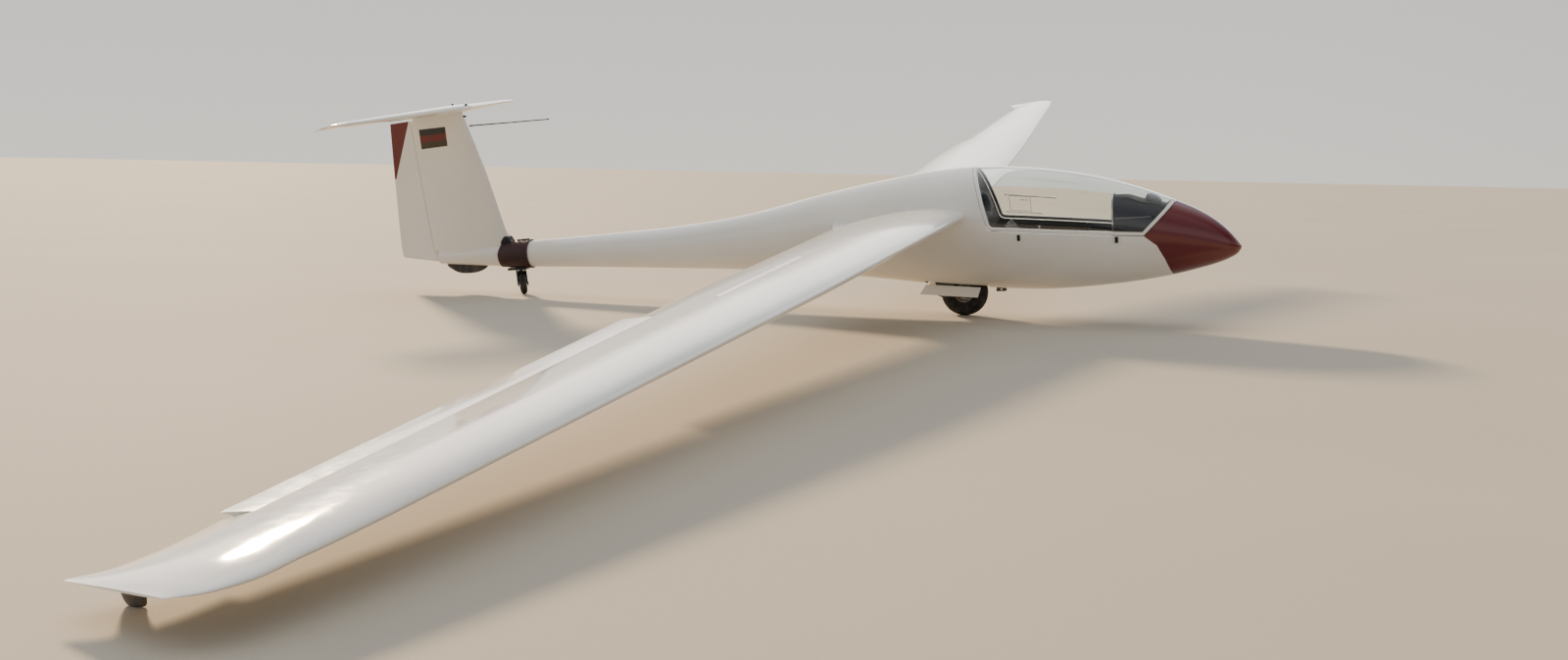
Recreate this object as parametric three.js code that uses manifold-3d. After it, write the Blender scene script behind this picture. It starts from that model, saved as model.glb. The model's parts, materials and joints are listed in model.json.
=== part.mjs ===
import * as THREE from "three";
import { mergeVertices } from "three/addons/utils/BufferGeometryUtils.js";
import Module from "manifold-3d";

// A single-seat T-tail sailplane of 15 m span, parked on its main wheel, its
// tail dolly and its right wing tip. Millimetres. In the aircraft's own frame
// X points forward, Y to the left wing, Z up, and the origin is the middle of
// the main wheel's axle.

const wasm = await Module();
wasm.setup();

// How the parked aircraft leans, in degrees
const bankAngle = 6.67;
const noseUpAngle = 5.05;
// Air kept between two fixed pieces, and between a moving piece and the rest
const jointGap = 0.4;
const moveGap = 5;
const rad = THREE.MathUtils.degToRad;

// Solids and their joining

function solidFrom(geometry) {
  const bare = geometry.clone();
  bare.deleteAttribute("normal");
  bare.deleteAttribute("uv");
  const merged = mergeVertices(bare, 1e-4);
  const position = merged.attributes.position;
  const index = Array.from(merged.index.array);
  const corner = [new THREE.Vector3(), new THREE.Vector3(), new THREE.Vector3()];
  let volume = 0;
  for (let i = 0; i < index.length; i += 3) {
    corner.forEach((p, k) => p.fromBufferAttribute(position, index[i + k]));
    volume += corner[0].dot(corner[1].clone().cross(corner[2]));
  }
  if (volume < 0) index.reverse();
  return new wasm.Manifold(
    new wasm.Mesh({
      numProp: 3,
      vertProperties: Float32Array.from(position.array),
      triVerts: Uint32Array.from(index),
    }),
  );
}

function geometryFrom(solid) {
  const mesh = solid.getMesh();
  const geometry = new THREE.BufferGeometry();
  geometry.setAttribute("position", new THREE.BufferAttribute(mesh.vertProperties, 3));
  geometry.setIndex(new THREE.BufferAttribute(mesh.triVerts, 1));
  geometry.computeVertexNormals();
  return geometry;
}

function moved(solid, matrix) {
  return solidFrom(geometryFrom(solid).applyMatrix4(matrix));
}

const mirrorMatrix = new THREE.Matrix4().makeScale(1, -1, 1);

function mirrored(solid) {
  return moved(solid, mirrorMatrix);
}

// The largest body of a solid that a cut has left in several
function mainBody(solid) {
  return solid.decompose().reduce((best, one) => (one.volume() > best.volume() ? one : best));
}

// Basic shapes

function box(size, centre) {
  return solidFrom(new THREE.BoxGeometry(...size).translate(...centre));
}

// A side-view outline [x, z], given a width across the aircraft
function sidePlate(outline, width, middleY) {
  const shape = new THREE.Shape(outline.map(([x, z]) => new THREE.Vector2(x, z)));
  const plate = new THREE.ExtrudeGeometry(shape, { depth: width, bevelEnabled: false });
  plate.translate(0, 0, -width / 2).rotateX(Math.PI / 2).translate(0, middleY, 0);
  return solidFrom(plate);
}

// A round bar between two points, whose radius may change on the way
function bar(from, to, radius, endRadius = radius, sides = 12) {
  const start = new THREE.Vector3(...from);
  const along = new THREE.Vector3(...to).sub(start);
  const length = along.length();
  const turn = new THREE.Quaternion().setFromUnitVectors(
    new THREE.Vector3(0, 1, 0),
    along.normalize(),
  );
  const rod = new THREE.CylinderGeometry(endRadius, radius, length, sides);
  rod.translate(0, length / 2, 0).applyQuaternion(turn).translate(...from);
  return solidFrom(rod);
}

function roundTyre(radius, halfWidth, rimRadius, sides, centre) {
  const crownSteps = 8;
  const profile = [new THREE.Vector2(rimRadius, -halfWidth * 0.62)];
  for (let i = 0; i <= crownSteps; i += 1) {
    const angle = -Math.PI / 2 + (Math.PI * i) / crownSteps;
    profile.push(
      new THREE.Vector2(radius - halfWidth + halfWidth * Math.cos(angle), halfWidth * Math.sin(angle)),
    );
  }
  profile.push(new THREE.Vector2(rimRadius, halfWidth * 0.62), profile[0].clone());
  return solidFrom(new THREE.LatheGeometry(profile, sides).translate(...centre));
}

// A ring of [radius, y] corners turned about the Y axis
function turned(profile, sides, centre) {
  const points = profile.map(([radius, y]) => new THREE.Vector2(radius, y));
  return solidFrom(new THREE.LatheGeometry(points, sides).translate(...centre));
}

// A skin through rings with the same number of points, closed at both ends
function loft(rings) {
  const sides = rings[0].length;
  const rows = rings.length - 1;
  const tube = new THREE.CylinderGeometry(1, 1, 1, sides, rows);
  const position = tube.attributes.position;
  for (let i = 0; i < position.count; i += 1) {
    const ring = rings[Math.round((0.5 - position.getY(i)) * rows)];
    const point = new THREE.Vector3();
    if (Math.hypot(position.getX(i), position.getZ(i)) < 0.5) {
      ring.forEach((p) => point.addScaledVector(p, 1 / sides));
    } else {
      const turn = Math.atan2(position.getX(i), position.getZ(i)) / (2 * Math.PI);
      point.copy(ring[(Math.round(turn * sides) + sides) % sides]);
    }
    position.setXYZ(i, point.x, point.y, point.z);
  }
  return solidFrom(tube);
}

// Fuselage: x of the section, z of its top, bottom and widest line, half width
const fuselageSections = [
  { x: 1868, top: 238, bottom: 214, wide: 226, half: 12 },
  { x: 1845, top: 277, bottom: 183, wide: 228, half: 50 },
  { x: 1790, top: 346, bottom: 152, wide: 240, half: 92 },
  { x: 1700, top: 428, bottom: 121, wide: 262, half: 134 },
  { x: 1594, top: 498, bottom: 95, wide: 285, half: 170 },
  { x: 1467, top: 562, bottom: 68, wide: 310, half: 204 },
  { x: 1258, top: 655, bottom: 36, wide: 342, half: 246 },
  { x: 956, top: 757, bottom: 10, wide: 378, half: 286 },
  { x: 563, top: 839, bottom: 0, wide: 415, half: 311 },
  { x: 200, top: 876, bottom: 28, wide: 448, half: 314 },
  { x: -173, top: 868, bottom: 68, wide: 478, half: 298 },
  { x: -480, top: 832, bottom: 113, wide: 490, half: 268 },
  { x: -800, top: 785, bottom: 158, wide: 488, half: 230 },
  { x: -1100, top: 732, bottom: 192, wide: 472, half: 195 },
  { x: -1400, top: 672, bottom: 221, wide: 450, half: 168 },
  { x: -1680, top: 628, bottom: 246, wide: 437, half: 150 },
  { x: -2050, top: 594, bottom: 271, wide: 432, half: 137 },
  { x: -2850, top: 562, bottom: 321, wide: 441, half: 112 },
  { x: -3600, top: 540, bottom: 364, wide: 452, half: 82 },
  { x: -4140, top: 512, bottom: 408, wide: 460, half: 46 },
];
const fuselageSides = 24;
const shellWall = 14;

function ellipseRing(section, inset) {
  const ring = [];
  for (let i = 0; i < fuselageSides; i += 1) {
    const angle = (2 * Math.PI * i) / fuselageSides;
    const rise = Math.sin(angle) > 0 ? section.top - section.wide : section.wide - section.bottom;
    ring.push(
      new THREE.Vector3(
        section.x,
        (section.half - inset) * Math.cos(angle),
        section.wide + (rise - inset) * Math.sin(angle),
      ),
    );
  }
  return ring;
}

function fuselageLoft(inset) {
  const wideEnough = fuselageSections.filter((section) => section.half > inset + 20);
  return loft((inset > 0 ? wideEnough : fuselageSections).map((s) => ellipseRing(s, inset)));
}

// Flying surfaces. Half thickness of a profile along its chord, as a share of
// its thickness; s runs from the nose, 0, to the trailing edge, 1.
function profileShape(s) {
  return 5 * (0.2969 * Math.sqrt(s) - 0.126 * s - 0.3516 * s ** 2 + 0.2843 * s ** 3 - 0.1026 * s ** 4);
}

// nose and tail are [x, y, z] of the chord's ends, up is the way of the thickness
function profileRing({ nose, tail, thick, camber = 0 }, up, sides) {
  const ring = [];
  const noseEnd = new THREE.Vector3(...nose);
  const chord = new THREE.Vector3(...tail).sub(noseEnd);
  for (let i = 0; i < sides; i += 1) {
    const angle = (2 * Math.PI * i) / sides;
    const s = (1 + Math.cos(angle)) / 2;
    const half = Math.max(profileShape(s) * thick, 0.6) * Math.sign(Math.sin(angle) || 0);
    const lift = half + camber * 4 * s * (1 - s);
    ring.push(noseEnd.clone().addScaledVector(chord, s).addScaledVector(up, lift));
  }
  return ring;
}

function surfaceLoft(sections, up, sides) {
  return loft(sections.map((section) => profileRing(section, up, sides)));
}

// The section between two of the table's, where its nose stands at this height
// or this far out; axis is 1 for Y and 2 for Z
function sectionAt(sections, axis, value) {
  const i = Math.max(sections.findIndex((section) => section.nose[axis] > value) - 1, 0);
  const [a, b] = [sections[i], sections[i + 1]];
  const share = (value - a.nose[axis]) / (b.nose[axis] - a.nose[axis]);
  const mix = (from, to) => from + (to - from) * share;
  return {
    nose: a.nose.map((from, k) => mix(from, b.nose[k])),
    tail: a.tail.map((from, k) => mix(from, b.tail[k])),
    thick: mix(a.thick, b.thick),
    camber: mix(a.camber ?? 0, b.camber ?? 0),
  };
}

// Middle of the profile and half its thickness, this share of the chord back
function profileAt(section, s, up) {
  const middle = new THREE.Vector3(...section.nose)
    .lerp(new THREE.Vector3(...section.tail), s)
    .addScaledVector(up, section.camber * 4 * s * (1 - s));
  return { middle, half: profileShape(s) * section.thick };
}

// A hinge line along the middle of a surface between two of its sections. The
// hinged surface's round nose is a little thinner than the surface there.
const noseShare = 0.93;
const noseSides = 16;

function hingeLine(sections, axis, up, from, to, shares) {
  const ends = [from, to].map((value, k) =>
    profileAt(sectionAt(sections, axis, value), shares[k], up),
  );
  return {
    from: ends[0].middle.toArray(),
    to: ends[1].middle.toArray(),
    radius: ends[0].half * noseShare,
    endRadius: ends[1].half * noseShare,
    up,
  };
}

// A hinged surface is cut from the fixed one behind its hinge line. The hinge
// runs along the middle of its round nose. Where the nose grows thin towards
// its end, sweepEnd is the radius that the surface's corners still sweep there.
const hingedReach = 420;

function splitAtHinge(whole, { from, to, radius, endRadius, up }, sweepEnd = endRadius) {
  const start = new THREE.Vector3(...from);
  const end = new THREE.Vector3(...to);
  const along = end.clone().sub(start);
  const length = along.length();
  along.normalize();
  const back = new THREE.Vector3().crossVectors(along, up).normalize();
  if (back.x > 0) back.negate();
  const high = new THREE.Vector3().crossVectors(back, along).normalize();
  const frameMatrix = new THREE.Matrix4().makeBasis(back, along, high).setPosition(start);
  const regionBehind = (slack) =>
    new THREE.BoxGeometry(hingedReach, length + 2 * slack, 400)
      .translate(hingedReach / 2, length / 2, 0);
  const noseBar = (toRadius, share, gap) => {
    const radii = [toRadius, radius].map((r) => r / share + gap);
    return new THREE.CylinderGeometry(...radii, length + 2 * gap, noseSides)
      .translate(0, length / 2, 0);
  };
  const placed = (geometry) => solidFrom(geometry.applyMatrix4(frameMatrix));
  // The fixed surface clears the moving one's whole thickness, not just its nose
  const sweepShare = noseShare * Math.cos(Math.PI / noseSides);
  const cutter = placed(regionBehind(moveGap)).add(
    placed(noseBar(sweepEnd, sweepShare, moveGap + 1.2)),
  );
  const moving = whole.intersect(placed(regionBehind(0))).add(placed(noseBar(endRadius, 1, 0)));
  return { fixed: whole.subtract(cutter), cutter, moving, start, along };
}

function turnAbout(solid, point, axis, degrees) {
  const matrix = new THREE.Matrix4()
    .makeTranslation(point)
    .multiply(new THREE.Matrix4().makeRotationAxis(axis, rad(degrees)))
    .multiply(new THREE.Matrix4().makeTranslation(point.clone().negate()));
  return moved(solid, matrix);
}

const upZ = new THREE.Vector3(0, 0, 1);
const upY = new THREE.Vector3(0, 1, 0);

// Left wing: y of the nose and of the tail of each section, x of both, z of
// the nose line, drop of the tail below it, thickness and camber
const wingSections = [
  { y: 200, yTail: 200, noseX: 112, tailX: -860, z: 573, drop: 38, thick: 142, camber: 20 },
  { y: 420, yTail: 420, noseX: 92, tailX: -838, z: 582, drop: 36, thick: 130, camber: 20 },
  { y: 3500, yTail: 3500, noseX: 8, tailX: -776, z: 700, drop: 27, thick: 110, camber: 18 },
  { y: 6900, yTail: 6900, noseX: -142, tailX: -622, z: 831, drop: 17, thick: 62, camber: 11 },
  { y: 7200, yTail: 7180, noseX: -165, tailX: -604, z: 843, drop: 15, thick: 52, camber: 9 },
  { y: 7380, yTail: 7310, noseX: -190, tailX: -632, z: 849, drop: 15, thick: 38, camber: 6 },
  { y: 7450, yTail: 7352, noseX: -236, tailX: -664, z: 851, drop: 14, thick: 22, camber: 2 },
  { y: 7482, yTail: 7374, noseX: -312, tailX: -678, z: 850, drop: 12, thick: 6, camber: 0 },
];
const wingRootY = 420;
const wingSides = 20;

const wingChords = wingSections.map((w) => ({
  nose: [w.noseX, w.y, w.z],
  tail: [w.tailX, w.yTail, w.z - w.drop],
  thick: w.thick,
  camber: w.camber,
}));
const wingWhole = surfaceLoft(wingChords, upZ, wingSides);
const insideRoot = box([2400, 2 * wingRootY, 1600], [-300, 0, 500]);

// Aileron hinge of the left wing
const aileronHinge = hingeLine(wingChords, 1, upZ, 4140, 6920, [0.8, 0.795]);
const aileronUpRight = 12;
const aileronDownLeft = 9.6;

// Airbrake of the left wing: its blade stands in a slot under a flush cap
const brake = {
  fromY: 2560,
  toY: 3860,
  x: -392,
  bladeThick: 8,
  capWidth: 34,
  capThick: 6,
  capSink: 1,
  depth: 74,
};

function wingTopAt(x, y) {
  const section = sectionAt(wingChords, 1, y);
  const s = (section.nose[0] - x) / (section.nose[0] - section.tail[0]);
  const { middle, half } = profileAt(section, s, upZ);
  return middle.z + half;
}

const brakeSpan = brake.toY - brake.fromY;
const brakeMiddleY = (brake.fromY + brake.toY) / 2;
const brakeTop = wingTopAt(brake.x, brakeMiddleY);
const brakeSlope =
  (wingTopAt(brake.x, brake.toY) - wingTopAt(brake.x, brake.fromY)) / brakeSpan;
const brakeTurn = new THREE.Matrix4()
  .makeTranslation(brake.x, brakeMiddleY, brakeTop)
  .multiply(new THREE.Matrix4().makeRotationX(Math.atan(brakeSlope)));

function brakeBox(width, length, height, top) {
  const block = new THREE.BoxGeometry(width, length, height).translate(0, 0, top - height / 2);
  return solidFrom(block.applyMatrix4(brakeTurn));
}

const brakeSlot = brakeBox(
  brake.capWidth + 2 * moveGap,
  brakeSpan + 2 * moveGap,
  brake.capSink + brake.capThick + moveGap + 60,
  60,
).add(
  brakeBox(brake.bladeThick + 2 * moveGap, brakeSpan + 2 * moveGap, brake.depth + moveGap, 0),
);
const airbrake = brakeBox(brake.capWidth, brakeSpan, brake.capThick, -brake.capSink)
  .add(brakeBox(brake.bladeThick, brakeSpan - 20, brake.depth - 2, -2));

const aileronSplit = splitAtHinge(wingWhole.subtract(insideRoot), aileronHinge);
const leftWing = aileronSplit.fixed
  .subtract(brakeSlot)
  .subtract(box([3000, 2 * jointGap, 2000], [0, wingRootY, 600]));
const aileronAtRest = aileronSplit.moving;
const hingeAxis = aileronSplit.along;
const hingePoint = aileronSplit.start;
const leftAileron = turnAbout(aileronAtRest, hingePoint, hingeAxis, -aileronDownLeft);
const raisedAileron = turnAbout(aileronAtRest, hingePoint, hingeAxis, aileronUpRight);

// Fin and rudder, given by their outline from the foot to the top
const finSections = [
  { z: 252, zTail: 468, noseX: -3400, tailX: -4470, thick: 96 },
  { z: 480, zTail: 500, noseX: -3450, tailX: -4482, thick: 98 },
  { z: 560, noseX: -3500, tailX: -4482, thick: 100 },
  { z: 640, noseX: -3538, tailX: -4480, thick: 98 },
  { z: 1100, noseX: -3638, tailX: -4450, thick: 84 },
  { z: 1545, noseX: -3766, tailX: -4416, thick: 68 },
  { z: 1590, noseX: -3779, tailX: -4412, thick: 66 },
];
const finSides = 20;
const finChords = finSections.map((f) => ({
  nose: [f.noseX, 0, f.z],
  tail: [f.tailX, 0, f.zTail ?? f.z],
  thick: f.thick,
}));
const finWhole = surfaceLoft(finChords, upY, finSides);
const rudderHinge = {
  ...hingeLine(finChords, 2, upY, 560, 1538, [0.71, 0.714]),
  from: [-4174.7, 0, 428],
  radius: 29.5,
};
const rudderSplit = splitAtHinge(finWhole, rudderHinge);
const fuselageOuter = fuselageLoft(0);
const bellyUnderFin = sidePlate([[-4139, 200], [-3300, 200], [-3300, 455], [-4139, 455]], 240, 0);
const behindBoom = sidePlate([[-4220, 200], [-4138, 200], [-4138, 518], [-4220, 518]], 240, 0);
const overRudder = sidePlate([[-4500, 1500], [-4202, 1500], [-4196, 1700], [-4500, 1700]], 200, 0);

// Tailplane on top of the fin, and its elevator
const tailplaneZ = 1592;
const tailSpan = 2520;
const tailSections = [
  { y: -tailSpan / 2, noseX: -4035, tailX: -4225, thick: 8 },
  { y: -tailSpan / 2 + 18, noseX: -3992, tailX: -4232, thick: 20 },
  { y: -tailSpan / 2 + 90, noseX: -3945, tailX: -4236, thick: 34 },
  { y: 0, noseX: -3705, tailX: -4262, thick: 69 },
  { y: tailSpan / 2 - 90, noseX: -3945, tailX: -4236, thick: 34 },
  { y: tailSpan / 2 - 18, noseX: -3992, tailX: -4232, thick: 20 },
  { y: tailSpan / 2, noseX: -4035, tailX: -4225, thick: 8 },
];
// The tailplane's nose stands a little higher than its tail
const tailTilt = Math.tan(rad(1.2));
const tailLevelX = -4050;
const tailHeight = (x) => tailplaneZ + (x - tailLevelX) * tailTilt;
const tailChords = tailSections.map((t) => ({
  nose: [t.noseX, t.y, tailHeight(t.noseX)],
  tail: [t.tailX, t.y, tailHeight(t.tailX)],
  thick: t.thick,
}));
const tailWhole = surfaceLoft(tailChords, upZ, 20);
// Each elevator half ends short of the rudder, which swings under the tailplane
const elevatorHinge = hingeLine(tailChords, 1, upZ, 60, 1259, [0.7, 0.4]);
const elevatorSplit = splitAtHinge(tailWhole, elevatorHinge, 20);
const tailplane = elevatorSplit.fixed.subtract(mirrored(elevatorSplit.cutter));
const tailplaneSeat = moved(tailWhole, new THREE.Matrix4().makeTranslation(0, 0, -jointGap));
// The elevator hangs down a little on the parked aircraft
const elevatorDroop = 12;
const leftElevator = turnAbout(
  elevatorSplit.moving,
  elevatorSplit.start,
  elevatorSplit.along,
  -elevatorDroop,
);
const fin = mainBody(
  rudderSplit.fixed
    .subtract(fuselageLoft(-jointGap))
    .subtract(bellyUnderFin)
    .subtract(behindBoom)
    .subtract(overRudder)
    .subtract(tailplaneSeat),
);

// Canopy outline on the fuselage, in side view [x, z], and its rim width
const canopyOutline = [[240, 468], [1259, 366], [1882, 950], [110, 950]];
const rimWidth = 24;
const rimDepth = 16;
const glassDepth = 5;

function offsetOutline(outline, distance) {
  const count = outline.length;
  return outline.map((point, i) => {
    const before = new THREE.Vector2(...outline[(i + count - 1) % count]);
    const here = new THREE.Vector2(...point);
    const after = new THREE.Vector2(...outline[(i + 1) % count]);
    const into = here.clone().sub(before).normalize();
    const out = after.clone().sub(here).normalize();
    const normalIn = new THREE.Vector2(into.y, -into.x);
    const normalOut = new THREE.Vector2(out.y, -out.x);
    const bisector = normalIn.add(normalOut).normalize();
    const reachOut = distance / bisector.dot(normalOut);
    return [here.x + bisector.x * reachOut, here.y + bisector.y * reachOut];
  });
}

function skin(outerInset, innerInset) {
  return fuselageLoft(outerInset).subtract(fuselageLoft(innerInset));
}

// A side-view outline, widened by an offset, through the whole fuselage's width
const throughCut = (outline, distance) => sidePlate(offsetOutline(outline, distance), 800, 0);
const canopyCut = sidePlate(canopyOutline, 800, 0);
const canopyBody = throughCut(canopyOutline, -moveGap);
const canopyInside = throughCut(canopyOutline, -moveGap - rimWidth);
const canopyGlassArea = throughCut(canopyOutline, -moveGap - rimWidth - jointGap);
const canopyFrame = skin(0, rimDepth).intersect(canopyBody).subtract(canopyInside);
const glassOuter = 1.5;

// Sliding window in the canopy's left side, and the two rails that it runs in
const windowOutline = [[312, 519], [465, 501], [465, 613], [312, 633]];
const windowRails = {
  top: [[286, 635], [648, 587], [648, 595], [286, 643]],
  bottom: [[278, 510], [539, 480], [539, 487], [278, 517]],
};
const railStandsIn = 5;
const leftSide = box([2000, 400, 1000], [1000, 200, 500]);

function windowRail(outline) {
  const inner = glassOuter + glassDepth + jointGap;
  return skin(inner, inner + railStandsIn).intersect(sidePlate(outline, 800, 0)).intersect(leftSide);
}

const visionWindow = skin(glassOuter, glassOuter + glassDepth)
  .intersect(throughCut(windowOutline, -jointGap))
  .intersect(leftSide);
const canopyGlass = skin(glassOuter, glassOuter + glassDepth)
  .intersect(canopyGlassArea)
  .subtract(sidePlate(windowOutline, 800, 0).intersect(leftSide));

// Canopy hinge lugs on the fuselage's right side, just under the canopy
const hingeLugSize = [20, 24, 40];
const hingeLugPlaces = { rear: [449, -308, 412], front: [1085, -274, 358] };

function hingeLug(place) {
  return box(hingeLugSize, place).subtract(fuselageOuter);
}

// Fuselage shell with the cockpit, the wheel well and the stubs of the wing
const cockpitSpace = fuselageLoft(shellWall).intersect(
  sidePlate([[97, 940], [345, 20], [1722, 20], [1722, 940]], 800, 0),
);
const wellSpace = box([452, 228, 420], [-30, 0, 140]);
const wingStubs = wingWhole.intersect(insideRoot).add(mirrored(wingWhole.intersect(insideRoot)));
const fuselageShell = fuselageOuter
  .add(wingStubs)
  .subtract(canopyCut)
  .subtract(cockpitSpace)
  .subtract(wellSpace);

const bulkhead = fuselageLoft(shellWall + 1).intersect(
  sidePlate([[98, 940], [106, 940], [354, 20], [346, 20]], 800, 0),
).subtract(canopyCut);

// Cockpit furniture: side-view outlines and widths, kept inside the shell
const cockpitRoom = fuselageLoft(shellWall + 1);
const underCanopy = fuselageLoft(34);

function fitted(outline, width) {
  return mainBody(sidePlate(outline, width, 0).intersect(cockpitRoom));
}

const seatPan = fitted(
  [[578, 84], [650, 62], [820, 66], [960, 132], [956, 142], [816, 76], [652, 72], [586, 92]],
  400,
);
const backrest = fitted([[574, 98], [586, 94], [335, 485], [323, 481]], 380);
const headrest = fitted([[176, 690], [208, 570], [243, 578], [211, 699]], 150);
// A front-view outline [y, z] with round upper corners, through the cockpit's length
function archOutline(halfWidth, bottom, top, corner) {
  const arch = [[-halfWidth, bottom]];
  const cornerSteps = 5;
  for (let i = 0; i <= 2 * cornerSteps + 1; i += 1) {
    const side = i <= cornerSteps ? -1 : 1;
    const angle = Math.PI - (Math.PI / 2) * ((i <= cornerSteps ? i : i - 1) / cornerSteps);
    arch.push([
      side * (halfWidth - corner) + corner * Math.cos(angle),
      top - corner + corner * Math.sin(angle),
    ]);
  }
  arch.push([halfWidth, bottom]);
  return arch;
}

function archAlongCockpit(...sizes) {
  const shape = new THREE.Shape(archOutline(...sizes).map(([y, z]) => new THREE.Vector2(y, z)));
  const prism = new THREE.ExtrudeGeometry(shape, { depth: 900, bevelEnabled: false });
  return solidFrom(prism.rotateX(Math.PI / 2).rotateZ(Math.PI / 2).translate(900, 0, 0));
}

const podWidth = 230;
const podCorner = 66;
const podSide = [
  [1062, 432],
  [1150, 425],
  [1162, 380],
  [1160, 300],
  [1236, 300],
  [1242, 376],
  [1330, 420],
  [1395, 470],
  [1405, 540],
  [1330, 562],
  [1240, 578],
  [1160, 612],
  [1066, 618],
];
const instrumentPod = sidePlate(podSide, podWidth, 0)
  .intersect(underCanopy)
  .intersect(archAlongCockpit(podWidth / 2, 200, 619, podCorner));
const panelSide = [[1046, 392], [1056, 392], [1064, 640], [1054, 640]];
const instrumentPanel = sidePlate(panelSide, 400, 0).intersect(
  archAlongCockpit(podWidth / 2 + 8, 200, 632, podCorner + 6),
);
const compassSide = [[1274, 560], [1270, 600], [1282, 616], [1312, 612], [1346, 596], [1370, 570], [1374, 540]];
const compassClear = 13;
const compass = sidePlate(compassSide, 84, 0)
  .intersect(fuselageLoft(compassClear))
  .subtract(moved(instrumentPod, new THREE.Matrix4().makeTranslation(0, 0, jointGap)));
const controlStick = bar([905, 0, 140], [882, 0, 340], 10).add(bar([882, 0, 338], [874, 0, 440], 15));

function pedal(side) {
  return box([12, 62, 120], [1485, side * 60, 218]).add(
    bar([1485, side * 60, 160], [1485, side * 60, 108], 7),
  );
}

function cockpitRail(side) {
  const strip = sidePlate([[376, 424], [1250, 336], [1250, 350], [376, 438]], 900, 0);
  const inner = cockpitRoom.subtract(fuselageLoft(shellWall + 40));
  return inner.intersect(strip).intersect(box([2000, 400, 800], [700, side * 202, 400]));
}

// Undercarriage
const wheelRadius = 166;
const tyreHalfWidth = 62;
const rimRadius = 66;
const tyre = roundTyre(wheelRadius, tyreHalfWidth, rimRadius, 36, [0, 0, 0]);
const wheelRim = turned(
  [
    [15, -46],
    [34, -46],
    [38, -20],
    [56, -20],
    [58, -44],
    [65.6, -44],
    [65.6, 44],
    [58, 44],
    [56, 20],
    [38, 20],
    [34, 46],
    [15, 46],
    [15, -46],
  ],
  36,
  [0, 0, 0],
);
const axleBore = 14.5;
const axleHalf = 90;
const wheelAxle = bar([0, -axleHalf, 0], [0, axleHalf, 0], axleBore - jointGap, axleBore - jointGap, 16);
const legThick = 8;
const legY = 80;
const legPlate = [
  [-26, -22],
  [22, -20],
  [30, 20],
  [118, 230],
  [118, 262],
  [84, 262],
  [4, 62],
  [-40, 40],
  [-196, 262],
  [-226, 262],
  [-226, 236],
  [-172, 24],
  [-172, -6],
  [-150, -14],
];

function gearLeg(side) {
  const bore = bar([0, side * 60, 0], [0, side * 100, 0], axleBore, axleBore, 16);
  return sidePlate(legPlate, legThick, side * legY).subtract(bore);
}

const doorThick = 4;
const doorOutline = [[139, 0], [-252, 0], [-285, -75], [127, -75]];
const doorHinge = { y: 118, z: 62 };
const doorOpenAngle = 32;
const doorRake = 6;

function gearDoor(side) {
  const place = new THREE.Matrix4()
    .makeTranslation(0, side * doorHinge.y, doorHinge.z)
    .multiply(new THREE.Matrix4().makeRotationX(side * rad(doorOpenAngle)))
    .multiply(new THREE.Matrix4().makeRotationY(rad(doorRake)));
  return moved(sidePlate(doorOutline, doorThick, 0), place);
}

const towHook = box([70, 26, 32], [262, 0, 12])
  .subtract(bar([262, -20, 9], [262, 20, 9], 6))
  .subtract(fuselageLoft(-jointGap));

// Tip skid under each wing tip. It reaches down to the ground.
const stance = new THREE.Matrix4()
  .makeRotationX(rad(bankAngle))
  .multiply(new THREE.Matrix4().makeRotationY(rad(-noseUpAngle)));
// Lowest point of a solid of the aircraft's frame, once it leans as it parks
function lowestPoint(solid) {
  const geometry = geometryFrom(solid).applyMatrix4(stance);
  geometry.computeBoundingBox();
  return geometry.boundingBox.min.z;
}

const axleHeight = -lowestPoint(tyre);

// z in the aircraft's frame of the point over x, y that is this high above ground
function heightAt(x, y, aboveGround) {
  const row = stance.elements;
  return (aboveGround - axleHeight - row[2] * x - row[6] * y) / row[10];
}

const skidX = -577;
const skidY = 7280;
const skidFoot = heightAt(skidX, -skidY, 0);
const skidRings = [
  { up: 100, long: 42, wide: 16 },
  { up: 60, long: 41, wide: 15 },
  { up: 22, long: 36, wide: 13 },
  { up: 6, long: 27, wide: 10 },
  { up: 0, long: 15, wide: 6 },
];
const skidSides = 16;

function skidRing({ up, long, wide }, footZ) {
  return Array.from({ length: skidSides }, (_, i) => {
    const angle = (2 * Math.PI * i) / skidSides;
    const x = skidX + long * Math.cos(angle);
    return new THREE.Vector3(x, skidY + wide * Math.sin(angle), footZ + up);
  });
}

const skidAtGuess = mirrored(loft(skidRings.map((ring) => skidRing(ring, skidFoot))));
const skidLift = -(lowestPoint(skidAtGuess) + axleHeight);
const skidBlock = loft(skidRings.map((ring) => skidRing(ring, skidFoot + skidLift)));
const wingUnderside = moved(wingWhole, new THREE.Matrix4().makeTranslation(0, 0, -jointGap));
const tipSkid = mainBody(skidBlock.subtract(wingUnderside).subtract(wingWhole));

// Tail: bumper under the fin and the total-energy probe
const tailSkid = sidePlate(
  [[-3752, 360], [-3790, 340], [-3900, 324], [-4000, 336], [-4080, 385], [-4080, 460], [-3752, 460]],
  44,
  0,
).subtract(fuselageLoft(-jointGap));
const probe = bar([-3725, 0, 1462], [-3050, 0, 1459], 5, 4, 10).subtract(
  moved(finWhole, new THREE.Matrix4().makeTranslation(jointGap, 0, 0)),
);
const probeSocket = bar([-3776, 0, 1536], [-3745, 0, 1536], 8).subtract(
  moved(finWhole, new THREE.Matrix4().makeTranslation(jointGap, 0, 0)),
);

// Tail dolly: two half shells round the boom, a swivelling fork and a wheel
const dollyTo = -3335;
const shellThick = 9;
const shellClear = 2;
const clampSide = [[-3589, 340], [dollyTo, 340], [dollyTo, 600], [-3545, 600], [-3574, 540], [-3593, 470]];
const clampShell = fuselageLoft(-shellThick - shellClear).intersect(sidePlate(clampSide, 300, 0));
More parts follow.
